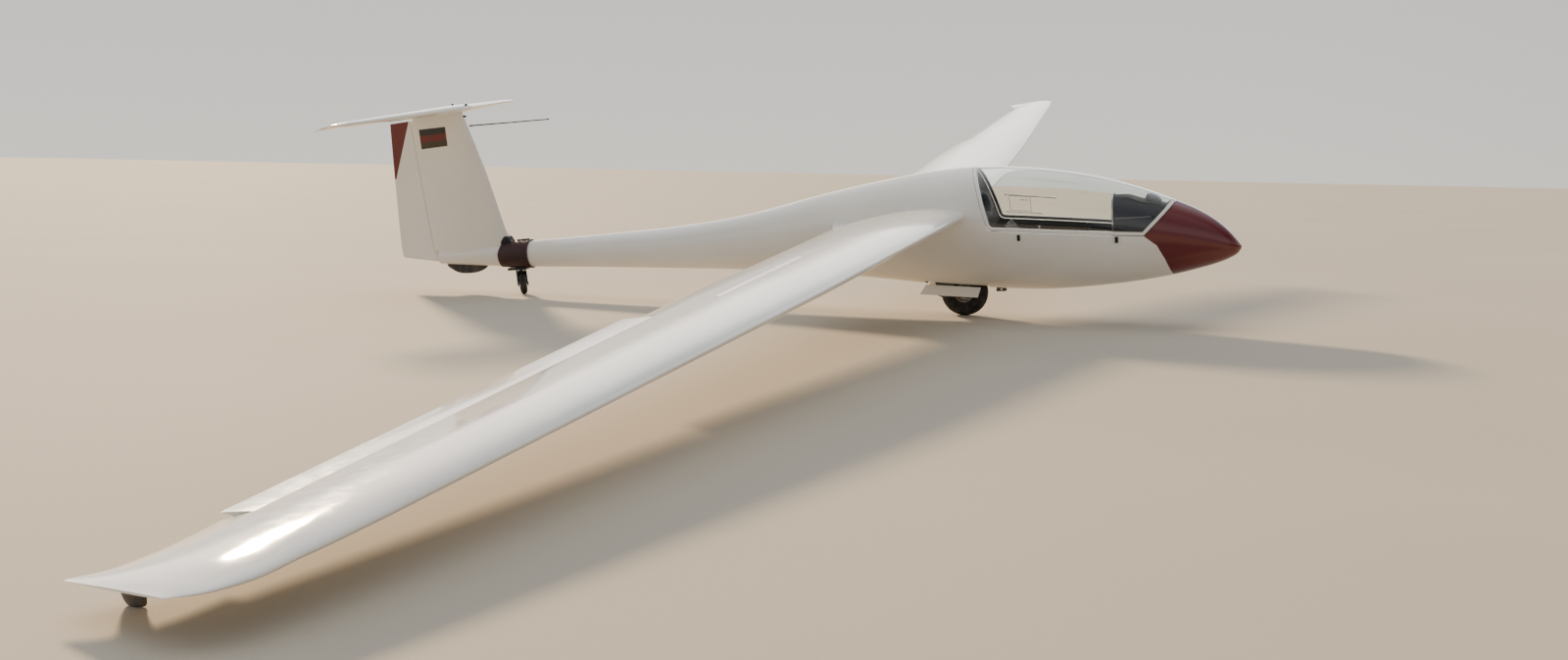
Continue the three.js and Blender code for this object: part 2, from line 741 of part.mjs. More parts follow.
// The shells rise beside the foot of the fin in a padded hump
const humpSide = [[-3588, 470], [-3480, 470], [-3498, 560], [-3514, 596], [-3548, 599], [-3574, 564]];
const humpWidth = 84;
const finWithAir = moved(finWhole, new THREE.Matrix4().makeScale(1, 1.06, 1)).add(
  moved(finWhole, new THREE.Matrix4().makeTranslation(3, 0, 0)),
);
const clampWhole = clampShell
  .add(sidePlate(humpSide, humpWidth, 0))
  .subtract(fuselageLoft(-shellClear))
  .subtract(finWithAir);

function clampHalf(side) {
  return mainBody(clampWhole.intersect(box([400, 300, 500], [-3460, side * 151, 452])));
}

const clampHinge = bar([-3455, 0, 561.6], [-3348, 0, 564.8], 5);
const swivelX = -3458;
const swivelTurn = -58;
const swivelPlateZ = 332;
const dollyWheelRadius = 80;
const dollyTyreHalf = 25;
const trail = 45;
const wheelDirection = new THREE.Vector3(Math.cos(rad(swivelTurn)), Math.sin(rad(swivelTurn)), 0);
const dollyRoll = roundTyre(dollyWheelRadius, dollyTyreHalf, 48, 28, [0, 0, 0]);
const dollyWheelHeight = -lowestPoint(
  moved(dollyRoll, new THREE.Matrix4().makeRotationZ(rad(swivelTurn))),
);
const dollyCentreX = swivelX + trail * wheelDirection.x;
const dollyCentreY = trail * wheelDirection.y;
const dollyCentreZ = heightAt(dollyCentreX, dollyCentreY, dollyWheelHeight);
// From the fork's own frame, X along the wheel and Z up the swivel, to the aircraft's
const forkMatrix = new THREE.Matrix4()
  .makeTranslation(swivelX, 0, dollyCentreZ)
  .multiply(new THREE.Matrix4().makeRotationZ(rad(swivelTurn)));
const forkTop = swivelPlateZ - 14 - dollyCentreZ;
const saddleSize = [156, 96, 18];
const saddleX = -3468;
const dollySaddle = box(saddleSize, [saddleX, 0, swivelPlateZ + saddleSize[2] / 2]).subtract(
  fuselageLoft(-shellThick - shellClear - 1),
);
const forkHalf = 36;
const forkCheek = [34, 6, forkTop + 14];
const forkFoot = [40, 6, 34];
const axleRadius = 6;
// The fork's back is closed, so that it stands round the wheel as a housing
const forkBackX = -47;
const forkFrontX = 41;
const forkDepth = forkFrontX - forkBackX + 3;
const forkMiddleX = (forkFrontX + forkBackX - 3) / 2;
const forkUpper = [forkDepth, 6, forkTop - 36];
const forkSides = [forkHalf, -forkHalf].map((y) =>
  box(forkCheek, [24, y, (forkTop - 10) / 2])
    .add(box(forkFoot, [40, y, 0]))
    .add(box(forkUpper, [forkMiddleX, y, forkTop - forkUpper[2] / 2])),
);
const forkLocal = box([forkDepth, 2 * forkHalf + 6, 6], [forkMiddleX, 0, forkTop])
  .add(box([6, 2 * forkHalf + 6, forkTop + 10], [forkBackX, 0, (forkTop - 10) / 2]))
  .add(forkSides[0])
  .add(forkSides[1])
  .add(bar([0, 0, forkTop + 2], [0, 0, forkTop + 12], 12))
  .subtract(bar([trail, -50, 0], [trail, 50, 0], axleRadius + jointGap));
const dollyFork = moved(forkLocal, forkMatrix);
const dollyAxle = moved(bar([trail, -44, 0], [trail, 44, 0], axleRadius), forkMatrix);
const dollyTyre = moved(
  dollyRoll,
  forkMatrix.clone().multiply(new THREE.Matrix4().makeTranslation(trail, 0, 0)),
);
const dollyHub = moved(
  turned(
    [
      [6.5, -27],
      [16, -27],
      [18, -7],
      [44, -7],
      [47.6, -13],
      [47.6, 13],
      [44, 7],
      [18, 7],
      [16, 27],
      [6.5, 27],
      [6.5, -27],
    ],
    28,
    [trail, 0, 0],
  ),
  forkMatrix,
);

// Finishes
const finish = (color, roughness, metalness = 0) => ({ color, roughness, metalness });
const gelcoat = finish(0xf1efe8, 0.18);
const darkPlastic = finish(0x1b1c1e, 0.55);
const rubber = finish(0x151515, 0.9);
const steel = finish(0x6d7072, 0.4, 0.9);
const maroon = finish(0x5e1a20, 0.5);
const glass = finish(0xcfd8d8, 0.05);

const pieces = [
  ["fuselage_shell", fuselageShell, gelcoat],
  ["cockpit_bulkhead", bulkhead, darkPlastic],
  ["canopy_frame", canopyFrame, gelcoat],
  ["canopy_glass", canopyGlass, glass],
  ["vision_window", visionWindow, glass],
  ["vision_rail_top", windowRail(windowRails.top), glass],
  ["vision_rail_bottom", windowRail(windowRails.bottom), glass],
  ["rear_canopy_hinge", hingeLug(hingeLugPlaces.rear), darkPlastic],
  ["front_canopy_hinge", hingeLug(hingeLugPlaces.front), darkPlastic],
  ["seat_pan", seatPan, darkPlastic],
  ["backrest", backrest, darkPlastic],
  ["headrest", headrest, darkPlastic],
  ["instrument_pod", instrumentPod, darkPlastic],
  ["instrument_panel", instrumentPanel, darkPlastic],
  ["compass", compass, darkPlastic],
  ["control_stick", controlStick, darkPlastic],
  ["left_rudder_pedal", pedal(1), steel],
  ["right_rudder_pedal", pedal(-1), steel],
  ["left_cockpit_rail", cockpitRail(1), darkPlastic],
  ["right_cockpit_rail", cockpitRail(-1), darkPlastic],
  ["left_wing", leftWing, gelcoat],
  ["right_wing", mirrored(leftWing), gelcoat],
  ["left_aileron", leftAileron, gelcoat],
  ["right_aileron", mirrored(raisedAileron), gelcoat],
  ["left_airbrake", airbrake, gelcoat],
  ["right_airbrake", mirrored(airbrake), gelcoat],
  ["left_tip_skid", tipSkid, rubber],
  ["right_tip_skid", mirrored(tipSkid), rubber],
  ["fin", fin, gelcoat],
  ["rudder", rudderSplit.moving, gelcoat],
  ["tailplane", tailplane, gelcoat],
  ["left_elevator", leftElevator, gelcoat],
  ["right_elevator", mirrored(leftElevator), gelcoat],
  ["tail_bumper", tailSkid, rubber],
  ["total_energy_probe", probe, steel],
  ["fin_probe_socket", probeSocket, darkPlastic],
  ["main_tyre", tyre, rubber],
  ["main_wheel_rim", wheelRim, steel],
  ["main_axle", wheelAxle, steel],
  ["left_gear_leg", gearLeg(1), steel],
  ["right_gear_leg", gearLeg(-1), steel],
  ["left_gear_door", gearDoor(1), gelcoat],
  ["right_gear_door", gearDoor(-1), gelcoat],
  ["tow_hook", towHook, steel],
  ["dolly_clamp_left", clampHalf(1), maroon],
  ["dolly_clamp_right", clampHalf(-1), maroon],
  ["dolly_clamp_hinge", clampHinge, darkPlastic],
  ["dolly_saddle", dollySaddle, steel],
  ["dolly_fork", dollyFork, steel],
  ["dolly_axle", dollyAxle, steel],
  ["dolly_tyre", dollyTyre, rubber],
  ["dolly_hub", dollyHub, steel],
];

const aircraft = new THREE.Group();
aircraft.applyMatrix4(stance);
for (const [name, solid, look] of pieces) {
  const mesh = new THREE.Mesh(geometryFrom(solid), new THREE.MeshStandardMaterial(look));
  mesh.name = name;
  aircraft.add(mesh);
}

// The stored origin is the middle of the parked aircraft's footprint
const sailplane = new THREE.Group();
sailplane.add(aircraft);
sailplane.updateMatrixWorld(true);
const bounds = new THREE.Box3().setFromObject(sailplane, true);
const middle = bounds.getCenter(new THREE.Vector3());
aircraft.position.set(-middle.x, -middle.y, -bounds.min.z);

export default sailplane;
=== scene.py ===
import json
import math

import bmesh
import bpy
from mathutils import Matrix, Vector


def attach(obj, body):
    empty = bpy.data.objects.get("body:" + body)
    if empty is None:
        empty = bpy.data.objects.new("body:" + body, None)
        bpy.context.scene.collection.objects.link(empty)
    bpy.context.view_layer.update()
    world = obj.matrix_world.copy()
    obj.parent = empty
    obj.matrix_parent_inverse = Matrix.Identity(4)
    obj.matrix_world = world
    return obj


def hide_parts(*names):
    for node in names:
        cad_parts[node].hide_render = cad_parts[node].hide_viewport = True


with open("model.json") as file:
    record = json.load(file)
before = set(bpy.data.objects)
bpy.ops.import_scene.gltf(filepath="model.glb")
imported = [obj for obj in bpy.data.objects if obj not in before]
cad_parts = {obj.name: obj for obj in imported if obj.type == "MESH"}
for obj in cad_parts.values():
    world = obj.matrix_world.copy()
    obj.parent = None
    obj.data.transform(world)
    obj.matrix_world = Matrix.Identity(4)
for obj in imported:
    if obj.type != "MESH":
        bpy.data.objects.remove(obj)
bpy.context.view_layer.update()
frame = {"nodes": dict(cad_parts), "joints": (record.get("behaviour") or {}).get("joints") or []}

# A parked single-seat T-tail sailplane. Every piece is drawn in the aircraft's
# own millimetres, X forward, Y left, Z up from the wheel's axle, and toFrame
# leans it over, as it parks, into the frame's metres.
joints = {joint["name"]: joint for joint in frame["joints"]}
wheelAxle = Vector(joints["main_wheel_spin"]["pos_m"])
leftWay = Vector(joints["main_wheel_spin"]["axis"])
upWay = Vector(joints["dolly_swivel"]["axis"])
lean = Matrix((leftWay.cross(upWay), leftWay, upWay)).transposed()
toFrame = Matrix.Translation(wheelAxle) @ lean.to_4x4() @ Matrix.Scale(0.001, 4)
print("frame loaded")

# Camera, at the photograph's place and angle
view = {"place": (2.9954, -9.7628, 1.019), "yaw": 16.809, "pitch": -6.613, "roll": -1.078, "lens": 32.31}
camera = bpy.data.objects.new("photoCamera", bpy.data.cameras.new("photoCamera"))
camera.data.lens = view["lens"]
camera.data.sensor_width = 36
camera.data.clip_end = 500
camera.matrix_world = (
    Matrix.Translation(view["place"])
    @ Matrix.Rotation(math.radians(view["yaw"]), 4, "Z")
    @ Matrix.Rotation(math.radians(view["pitch"]), 4, "X")
    @ Matrix.Rotation(math.radians(view["roll"]), 4, "Y")
    @ Matrix.Rotation(math.radians(90), 4, "X")
)
bpy.context.scene.collection.objects.link(camera)
bpy.context.scene.camera = camera


# Materials

def colour(code):
    parts = [int(code[i:i + 2], 16) / 255 for i in (1, 3, 5)]
    return (*[c / 12.92 if c <= 0.04045 else ((c + 0.055) / 1.055) ** 2.4 for c in parts], 1)


def addNode(tree, kind, inputs=None, **settings):
    node = tree.nodes.new("ShaderNode" + kind)
    for key, value in settings.items():
        setattr(node, key, value)
    for key, value in (inputs or {}).items():
        if isinstance(value, bpy.types.NodeSocket):
            tree.links.new(value, node.inputs[key])
        else:
            node.inputs[key].default_value = value
    return node


def startMaterial(name, **shine):
    material = bpy.data.materials.new(name)
    material.use_nodes = True
    tree = material.node_tree
    shader = tree.nodes["Principled BSDF"]
    for key, value in shine.items():
        shader.inputs[key.replace("_", " ")].default_value = value
    where = addNode(tree, "TexCoord").outputs["Object"]
    return material, tree, shader, where


def patches(tree, where, millimetres, detail=3.0, low=0.35, high=0.65, toLow=0.0, toHigh=1.0):
    spots = addNode(tree, "TexNoise", {"Vector": where, "Scale": 1000 / millimetres, "Detail": detail})
    return addNode(
        tree, "MapRange",
        {"Value": spots.outputs["Fac"], "From Min": low, "From Max": high, "To Min": toLow, "To Max": toHigh},
    ).outputs["Result"]


# Each of the two is a hex colour or another node's output
def blendColours(tree, amount, first, second):
    mix = addNode(tree, "Mix", data_type="RGBA")
    tree.links.new(amount, mix.inputs["Factor"])
    for socket, value in (("A", first), ("B", second)):
        target = [i for i in mix.inputs if i.name == socket and i.type == "RGBA"][0]
        if isinstance(value, str):
            target.default_value = colour(value)
        else:
            tree.links.new(value, target)
    return [o for o in mix.outputs if o.type == "RGBA"][0]


# Joins the tone, the roughness and a raised pattern, its depth in metres
def finishSurface(tree, shader, tone, rough=None, pattern=None, strength=0.5, depth=0.0001, under=None):
    tree.links.new(tone, shader.inputs["Base Color"])
    if rough is not None:
        tree.links.new(rough, shader.inputs["Roughness"])
    if pattern is not None:
        inputs = {"Height": pattern, "Strength": strength, "Distance": depth}
        if under is not None:
            inputs["Normal"] = under
        raised = addNode(tree, "Bump", inputs)
        tree.links.new(raised.outputs["Normal"], shader.inputs["Normal"])


# Gelcoat polished out of a mould: deep gloss, a faint long wave from the cloth
# beneath, a film of dust that dulls it in patches. The mould's wave is about
# 170 mm long, the polished skin's ripple about 9 mm.
def gelcoat(name, clean, worn, glossy=0.08, dull=0.15):
    material, tree, shader, where = startMaterial(name, IOR=1.5, Coat_Weight=0.35, Coat_Roughness=0.04)
    dust = patches(tree, where, 900, 4.0)
    fine = patches(tree, where, 60, 5.0, 0.4, 0.75)
    film = addNode(tree, "Math", {0: dust, 1: fine}, operation="MULTIPLY").outputs[0]
    rough = addNode(tree, "MapRange", {"Value": film, "To Min": glossy, "To Max": dull}).outputs["Result"]
    wave, ripple = [
        addNode(tree, "TexNoise", {"Vector": where, "Scale": 1000 / size, "Detail": 1.0}).outputs["Fac"]
        for size in (170, 9)
    ]
    low = addNode(tree, "Bump", {"Height": wave, "Strength": 0.3, "Distance": 0.0007}).outputs["Normal"]
    finishSurface(tree, shader, blendColours(tree, dust, clean, worn), rough, ripple, 0.25, 0.00005, low)
    return material


# Moulded or painted in a dull finish: an even leathery grain and rubbed patches
def grained(name, base, rubbed, grain, roughness=0.55, depth=0.00012, gloss=0.5):
    material, tree, shader, where = startMaterial(name, IOR=1.48, Specular_IOR_Level=gloss)
    tone = blendColours(tree, patches(tree, where, 120, 4.0, 0.42, 0.7), base, rubbed)
    rough = patches(tree, where, 35, 3.0, 0.3, 0.7, roughness - 0.08, roughness + 0.12)
    cells = addNode(tree, "TexVoronoi", {"Vector": where, "Scale": 1000 / grain}).outputs["Distance"]
    finishSurface(tree, shader, tone, rough, cells, 0.5, depth)
    return material


# Moulded rubber: dull, chalky with dust in patches, with a fine pitted skin
def rubbery(name, base, dusty):
    material, tree, shader, where = startMaterial(name, IOR=1.52)
    tone = blendColours(tree, patches(tree, where, 45, 6.0, 0.4, 0.72), base, dusty)
    rough = patches(tree, where, 20, 3.0, 0.3, 0.7, 0.68, 0.92)
    pits = addNode(tree, "TexNoise", {"Vector": where, "Scale": 1000 / 2.5, "Detail": 2.0}).outputs["Fac"]
    finishSurface(tree, shader, tone, rough, pits, 0.4, 0.0002)
    return material


# Bare or painted metal: grain is the length of its marks, metallic 1 for bare
def metal(name, base, stained, grain, roughness, metallic=1.0, stretch=(1, 1, 1)):
    material, tree, shader, where = startMaterial(name, Metallic=metallic)
    lines = addNode(tree, "Mapping", {"Vector": where, "Scale": stretch}).outputs["Vector"]
    marks = patches(tree, lines, grain, 5.0, 0.3, 0.7)
    tone = blendColours(tree, patches(tree, where, 70, 4.0, 0.45, 0.72), base, stained)
    spread = {"Value": marks, "To Min": roughness - 0.08, "To Max": roughness + 0.12}
    rough = addNode(tree, "MapRange", spread).outputs["Result"]
    finishSurface(tree, shader, tone, rough, marks, 0.25, 0.00008)
    return material


# Plain woven cover: two crossing sets of threads, with a soft pale edge where
# the eye meets it flat. Real threads stand 1 mm apart, drawn 2.2 mm apart so
# that they show.
def wovenCover(name, base, thread, spacing=2.2):
    material, tree, shader, where = startMaterial(
        name, IOR=1.46, Roughness=0.86, Sheen_Weight=0.35, Sheen_Roughness=0.45,
    )
    bands = [
        addNode(
            tree, "TexWave", {"Vector": where, "Scale": 1000 / spacing / 20, "Distortion": 0.3},
            wave_type="BANDS", bands_direction=way,
        ).outputs["Fac"]
        for way in ("X", "Z")
    ]
    weave = addNode(tree, "Math", {0: bands[0], 1: bands[1]}, operation="MULTIPLY").outputs[0]
    tone = blendColours(tree, patches(tree, where, 90, 4.0), blendColours(tree, weave, base, thread), base)
    finishSurface(tree, shader, tone, None, weave, 0.5, 0.0004)
    return material


# Blown acrylic: clear, polished, with a trace of grey and faint long ripples
def blownAcrylic(name, tint):
    material, tree, shader, where = startMaterial(name, IOR=1.49, Transmission_Weight=1.0)
    haze = patches(tree, where, 400, 4.0, 0.4, 0.8)
    rough = patches(tree, where, 250, 3.0, 0.4, 0.8, 0.0, 0.012)
    finishSurface(tree, shader, blendColours(tree, haze, tint, "#FFFFFF"), rough)
    return material


# Sawn and sanded acrylic edges: white, and light from behind glows through them
def frostedAcrylic(name, base, scuffed):
    material, tree, shader, where = startMaterial(
        name, IOR=1.49, Subsurface_Weight=1.0, Subsurface_Radius=(1, 1, 1), Subsurface_Scale=0.01,
    )
    tone = blendColours(tree, patches(tree, where, 14, 4.0, 0.4, 0.7), base, scuffed)
    finishSurface(tree, shader, tone, patches(tree, where, 9, 3.0, 0.3, 0.7, 0.28, 0.45))
    return material


whiteGelcoat = gelcoat("whiteGelcoatPolished", "#F4F2EC", "#ECE8DE")
redGelcoat = gelcoat("redGelcoatPolished", "#6E0812", "#5E0912", 0.12, 0.22)
redFilm = gelcoat("redVinylFilm", "#6A1015", "#5C1216", 0.3, 0.42)
blackFilm = gelcoat("blackVinylFilm", "#17171A", "#222226", 0.32, 0.45)
# Gold vinyl film with painted shade: its colour is gold darkened to the tone it has in shade, not the film's
# own colour
shadedGoldFilm = gelcoat("goldVinylFilmPaintedShade", "#3A3018", "#322A17", 0.3, 0.42)
cockpitPaint = grained("darkGreySpeckledPaint", "#1C1D1F", "#292A2C", 3.0, 0.6, 0.00006, 0.25)
frameBlack = grained("blackPaintedLaminate", "#131415", "#202123", 4.0, 0.6, 0.00005, 0.25)
blackPlastic = grained("blackMouldedPlastic", "#121314", "#1D1E20", 1.6, 0.5, gloss=0.35)
crackleBlack = grained("blackCracklePaint", "#121314", "#1D1E20", 2.2, 0.65, 0.0002, 0.2)
seatLaminate = grained("greyPaintedLaminate", "#4A4D50", "#5A5D60", 3.0, 0.48, 0.00005)
maroonShell = grained("maroonPaintedLaminate", "#2C1216", "#3A191C", 5.0, 0.5, 0.00008)
blackPad = wovenCover("blackWebbingPad", "#141416", "#2C2C30")
seatCloth = wovenCover("charcoalWovenCover", "#1C1D20", "#3A3B40")
tyreRubber = rubbery("blackTyreRubber", "#17181A", "#3A3835")
skidRubber = rubbery("greyMouldedRubber", "#2F3032", "#4C4945")
tipRubber = rubbery("scuffedPaleRubber", "#5B5955", "#77726A")
greySteel = metal("greyPaintedSteel", "#5E6266", "#4C4E50", 12, 0.42, 0.15)
blackSteel = metal("blackPaintedSteel", "#1C1D1F", "#2E2C2A", 12, 0.42, 0.1)
castAlloy = metal("castAluminiumAlloy", "#A4A7AA", "#85888A", 5, 0.4)
brightSteel = metal("turnedBareSteel", "#B9BBBD", "#8E8F8F", 3, 0.28, 1.0, (1, 8, 1))
silverTrim = metal("satinAluminium", "#C2C4C6", "#A8AAAC", 2, 0.3)
paleEdge = frostedAcrylic("whiteFrostedAcrylic", "#FBF8F0", "#EFEBE0")
dialWhite = grained("whitePrintedDialMarks", "#E8E8E4", "#D8D8D2", 2.0, 0.5, 0.00001)
clearAcrylic = blownAcrylic("clearBlownAcrylic", "#F6FAF8")
print("materials made")


# Making solids, in the aircraft's millimetres

upZ, upY = Vector((0, 0, 1)), Vector((0, 1, 0))


# A smooth curve through rows of numbers, with this many new rows in each gap
def smoothRows(rows, steps):
    gaps = [max(math.dist(a, b), 1e-6) for a, b in zip(rows, rows[1:])]

    def slopeAt(i, k):
        sides = []
        if i > 0:
            sides.append(((rows[i][k] - rows[i - 1][k]) / gaps[i - 1], gaps[i - 1]))
        if i < len(rows) - 1:
            sides.append(((rows[i + 1][k] - rows[i][k]) / gaps[i], gaps[i]))
        if len(sides) == 1:
            return sides[0][0]
        (before, gapBefore), (after, gapAfter) = sides
        return (before * gapAfter + after * gapBefore) / (gapBefore + gapAfter)

    smooth = []
    for i, gap in enumerate(gaps):
        for step in range(steps):
            t = step / steps
            a, b = rows[i], rows[i + 1]
            smooth.append([
                (2 * t ** 3 - 3 * t ** 2 + 1) * a[k] + (t ** 3 - 2 * t ** 2 + t) * gap * slopeAt(i, k)
                + (3 * t ** 2 - 2 * t ** 3) * b[k] + (t ** 3 - t ** 2) * gap * slopeAt(i + 1, k)
                for k in range(len(a))
            ])
    smooth.append(list(rows[-1]))
    return smooth


# Rows with this many new ones in each gap, each gap kept straight
def straightRows(rows, steps):
    return [row for a, b in zip(rows, rows[1:]) for row in smoothRows([a, b], steps)[:-1]] + [rows[-1]]


# Merges doubled corners, closes open ends and turns every face outwards
def tidied(bm):
    bmesh.ops.remove_doubles(bm, verts=bm.verts, dist=0.002)
    openEdges = [edge for edge in bm.edges if edge.is_boundary]
    if openEdges:
        bmesh.ops.holes_fill(bm, edges=openEdges, sides=0)
    bmesh.ops.recalc_face_normals(bm, faces=bm.faces)
    return bm


def painted(bm, material):
    for face in bm.faces:
        face.material_index = material
    return bm


# A grid laid along rings of points: one row for each ring, closed round and at both ends
def loft(rings, material=0):
    around, along = len(rings[0]), len(rings) - 1
    bm = bmesh.new()
    bmesh.ops.create_grid(bm, x_segments=around, y_segments=along, size=1)
    for vert in bm.verts:
        column = round((vert.co.x + 1) / 2 * around)
        row = round((vert.co.y + 1) / 2 * along)
        vert.co = rings[row][column % around]
    return tidied(painted(bm, material))


# A flat outline grown into a solid along a vector
def grownOutline(points, along):
    bm = bmesh.new()
    face = bm.faces.new([bm.verts.new(point) for point in points])
    fresh = bmesh.ops.extrude_face_region(bm, geom=[face])["geom"]
    bmesh.ops.translate(bm, verts=[g for g in fresh if isinstance(g, bmesh.types.BMVert)], vec=along)
    return bm


# A side-view outline, as wide as given about the middle
def prism(outline, width, material=0):
    points = [(x, -width / 2, z) for x, z in outline]
    return tidied(painted(grownOutline(points, (0, width, 0)), material))


def block(size, centre, material=0):
    bm = bmesh.new()
    bmesh.ops.create_cube(bm, size=1, matrix=Matrix.Translation(centre) @ Matrix.Diagonal((*size, 1)))
    return painted(bm, material)


def bar(start, end, radius, endRadius=None, sides=32, material=0):
    start, end = Vector(start), Vector(end)
    turn = (end - start).to_track_quat("Z", "Y").to_matrix().to_4x4()
    bm = bmesh.new()
    bmesh.ops.create_cone(
        bm, cap_ends=True, segments=sides, radius1=radius,
        radius2=radius if endRadius is None else endRadius,
        depth=(end - start).length, matrix=Matrix.Translation((start + end) / 2) @ turn,
    )
    return painted(bm, material)


# Corners [radius, y] turned about the Y axis
def turned(profile, sides, material=0):
    bm = bmesh.new()
    verts = [bm.verts.new((radius, y, 0)) for radius, y in profile]
    edges = [bm.edges.new(pair) for pair in zip(verts, verts[1:])]
    edges.append(bm.edges.new((verts[-1], verts[0])))
    bmesh.ops.spin(
        bm, geom=verts + edges, cent=(0, 0, 0), axis=(0, 1, 0), angle=2 * math.pi, steps=sides,
        use_merge=True,
    )
    return tidied(painted(bm, material))


def added(bm, *others):
    for other in others:
        mesh = bpy.data.meshes.new("part")
        other.to_mesh(mesh)
        other.free()
        bm.from_mesh(mesh)
        bpy.data.meshes.remove(mesh)
    return bm


# Rows of a bar's start, end, radius at each, sides and material
def bars(rows):
    return added(*[bar(*row) for row in rows])


def axleWithNuts(half, radius, sides, nutFrom, nutTo, nutRadius):
    nuts = [((0, k * nutFrom, 0), (0, k * nutTo, 0), nutRadius, nutRadius, 6) for k in (-1, 1)]
    return bars([((0, -half, 0), (0, half, 0), radius, radius, sides), *nuts])


def mirrored(bm):
    twin = bm.copy()
    bmesh.ops.scale(twin, verts=twin.verts, vec=(1, -1, 1))
    bmesh.ops.reverse_faces(twin, faces=twin.faces)
    return twin


def shifted(bm, vec):
    twin = bm.copy()
    bmesh.ops.translate(twin, verts=twin.verts, vec=vec)
    return twin


def workObject(bm):
    mesh = bpy.data.meshes.new("work")
    bm.to_mesh(mesh)
    for _ in range(4):
        mesh.materials.append(None)
    obj = bpy.data.objects.new("work", mesh)
    bpy.context.scene.collection.objects.link(obj)
    return obj


# Cuts, joins or keeps the common part of two closed shapes. The tools stay.
def combined(body, *tools, how="DIFFERENCE"):
    for tool in tools:
        pair = [workObject(body), workObject(tool)]
        modifier = pair[0].modifiers.new("combine", "BOOLEAN")
        modifier.operation = how
        modifier.solver = "EXACT"
        modifier.object = pair[1]
        bpy.context.view_layer.update()
        made = bpy.data.meshes.new_from_object(pair[0].evaluated_get(bpy.context.evaluated_depsgraph_get()))
        body = bmesh.new()
        body.from_mesh(made)
        bpy.data.meshes.remove(made)
        for obj in pair:
            mesh = obj.data
            bpy.data.objects.remove(obj)
            bpy.data.meshes.remove(mesh)
    return body


# Drops the shreds that a cut can leave beside the main body
def biggestIsland(bm):
    left, islands = set(bm.verts), []
    while left:
        island, waiting = set(), [left.pop()]
        while waiting:
            vert = waiting.pop()
            island.add(vert)
            near = {other for edge in vert.link_edges for other in edge.verts} & left
            left -= near
            waiting += near
        islands.append(island)
    main = max(islands, key=len)
    bmesh.ops.delete(bm, geom=[vert for vert in bm.verts if vert not in main], context="VERTS")
    return bm


# Splits faces along a side-view line, so that paint can change there
def markLine(bm, start, end):
    along = Vector((end[0] - start[0], 0, end[1] - start[1]))
    bmesh.ops.bisect_plane(
        bm, geom=[*bm.verts, *bm.edges, *bm.faces], plane_co=(start[0], 0, start[1]),
        plane_no=along.cross(upY).normalized(), dist=0.01,
    )


def roundedEdges(bm, edges, offset):
    bmesh.ops.bevel(bm, geom=edges, offset=offset, segments=4, profile=0.5, affect="EDGES", material=-1)


# A finished piece: it rides on a body and stands for CAD nodes
def makePiece(name, bm, materials, body, nodes=(), sharp=30, bevel=0, placed=False):
    if not placed:
        bm.transform(toFrame)
    for edge in bm.edges:
        edge.smooth = len(edge.link_faces) == 2 and edge.calc_face_angle(0) < math.radians(sharp)
    for face in bm.faces:
        face.smooth = True
        face.material_index = min(face.material_index, len(materials) - 1)
    mesh = bpy.data.meshes.new(name)
    bm.to_mesh(mesh)
    bm.free()
    for material in materials:
        mesh.materials.append(material)
    piece = bpy.data.objects.new(name, mesh)
    bpy.context.scene.collection.objects.link(piece)
    if bevel:
        rounding = piece.modifiers.new("rounding", "BEVEL")
        rounding.width = bevel / 1000
        rounding.segments = 2
        rounding.limit_method = "ANGLE"
        rounding.angle_limit = math.radians(35)
        rounding.harden_normals = False
    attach(piece, body)
    if nodes:
        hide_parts(*nodes)
    return piece


# The left shape and its mirror image, or a right one of its own
def makePair(name, left, material, node, body=None, bevel=0, right=None):
    right = mirrored(left) if right is None else right
    for side, bm in (("right", right), ("left", left)):
        rides = body + "_" + side if body else "airframe"
        makePiece(side + name, bm, [material], rides, [side + "_" + node], bevel=bevel)


# Finer copies of CAD nodes, their edges rounded: node, name, material, slot, rounding
def roundedNodes(rows, body="airframe"):
    for node, name, material, slot, bevel in rows:
        bm = bmesh.new()
        bm.from_mesh(frame["nodes"][node].data)
        bmesh.ops.remove_doubles(bm, verts=bm.verts, dist=2e-5)
        bmesh.ops.dissolve_limit(bm, angle_limit=math.radians(0.6), verts=bm.verts, edges=bm.edges)
        makePiece(name, bm, [material], body, [node], bevel=bevel, placed=True)


# Fuselage: x of a section, z of its top, bottom and widest line, half width
fuselage = {
    "sections": [
        (1871.5, 226, 226, 226, 0),
        (1868, 238, 214, 226, 12),
        (1845, 277, 183, 228, 50),
        (1790, 346, 152, 240, 92),
        (1700, 428, 121, 262, 134),
        (1594, 498, 95, 285, 170),
        (1467, 562, 68, 310, 204),
        (1258, 655, 36, 342, 246),
        (956, 757, 10, 378, 286),
        (563, 839, 0, 415, 311),
        (200, 876, 28, 448, 314),
        (-173, 868, 68, 478, 298),
        (-480, 832, 113, 490, 268),
        (-800, 785, 158, 488, 230),
        (-1100, 732, 192, 472, 195),
        (-1400, 672, 221, 450, 168),
        (-1680, 628, 246, 437, 150),
        (-2050, 594, 271, 432, 137),
        (-2850, 562, 321, 441, 112),
        (-3600, 540, 364, 452, 82),
        (-4140, 512, 408, 460, 46),
    ],
    "sides": 112,
    "wall": 14,
    "leastRoom": 12,
    # Side view of the hollow behind and below the canopy
    "cockpit": [(97, 940), (345, 20), (1722, 20), (1722, 940)],
    "wheelBay": {"size": (452, 228, 420), "centre": (-30, 0, 140)},
    # Red nose: its edge in side view, from the top to the keel
    "redEdge": [(1560, 640), (1467, 561), (1259, 366), (1337, 299), (1384, 202), (1440, 40)],
    "fairing": {"rootY": 419.6, "radius": 62, "topRadius": 105, "steps": 14, "sunk": 7},
}
throughAll = 900  # wide enough to cut through the whole fuselage
jointGap = 0.4  # air between two fixed pieces
fuselageRows = smoothRows(fuselage["sections"], 8)


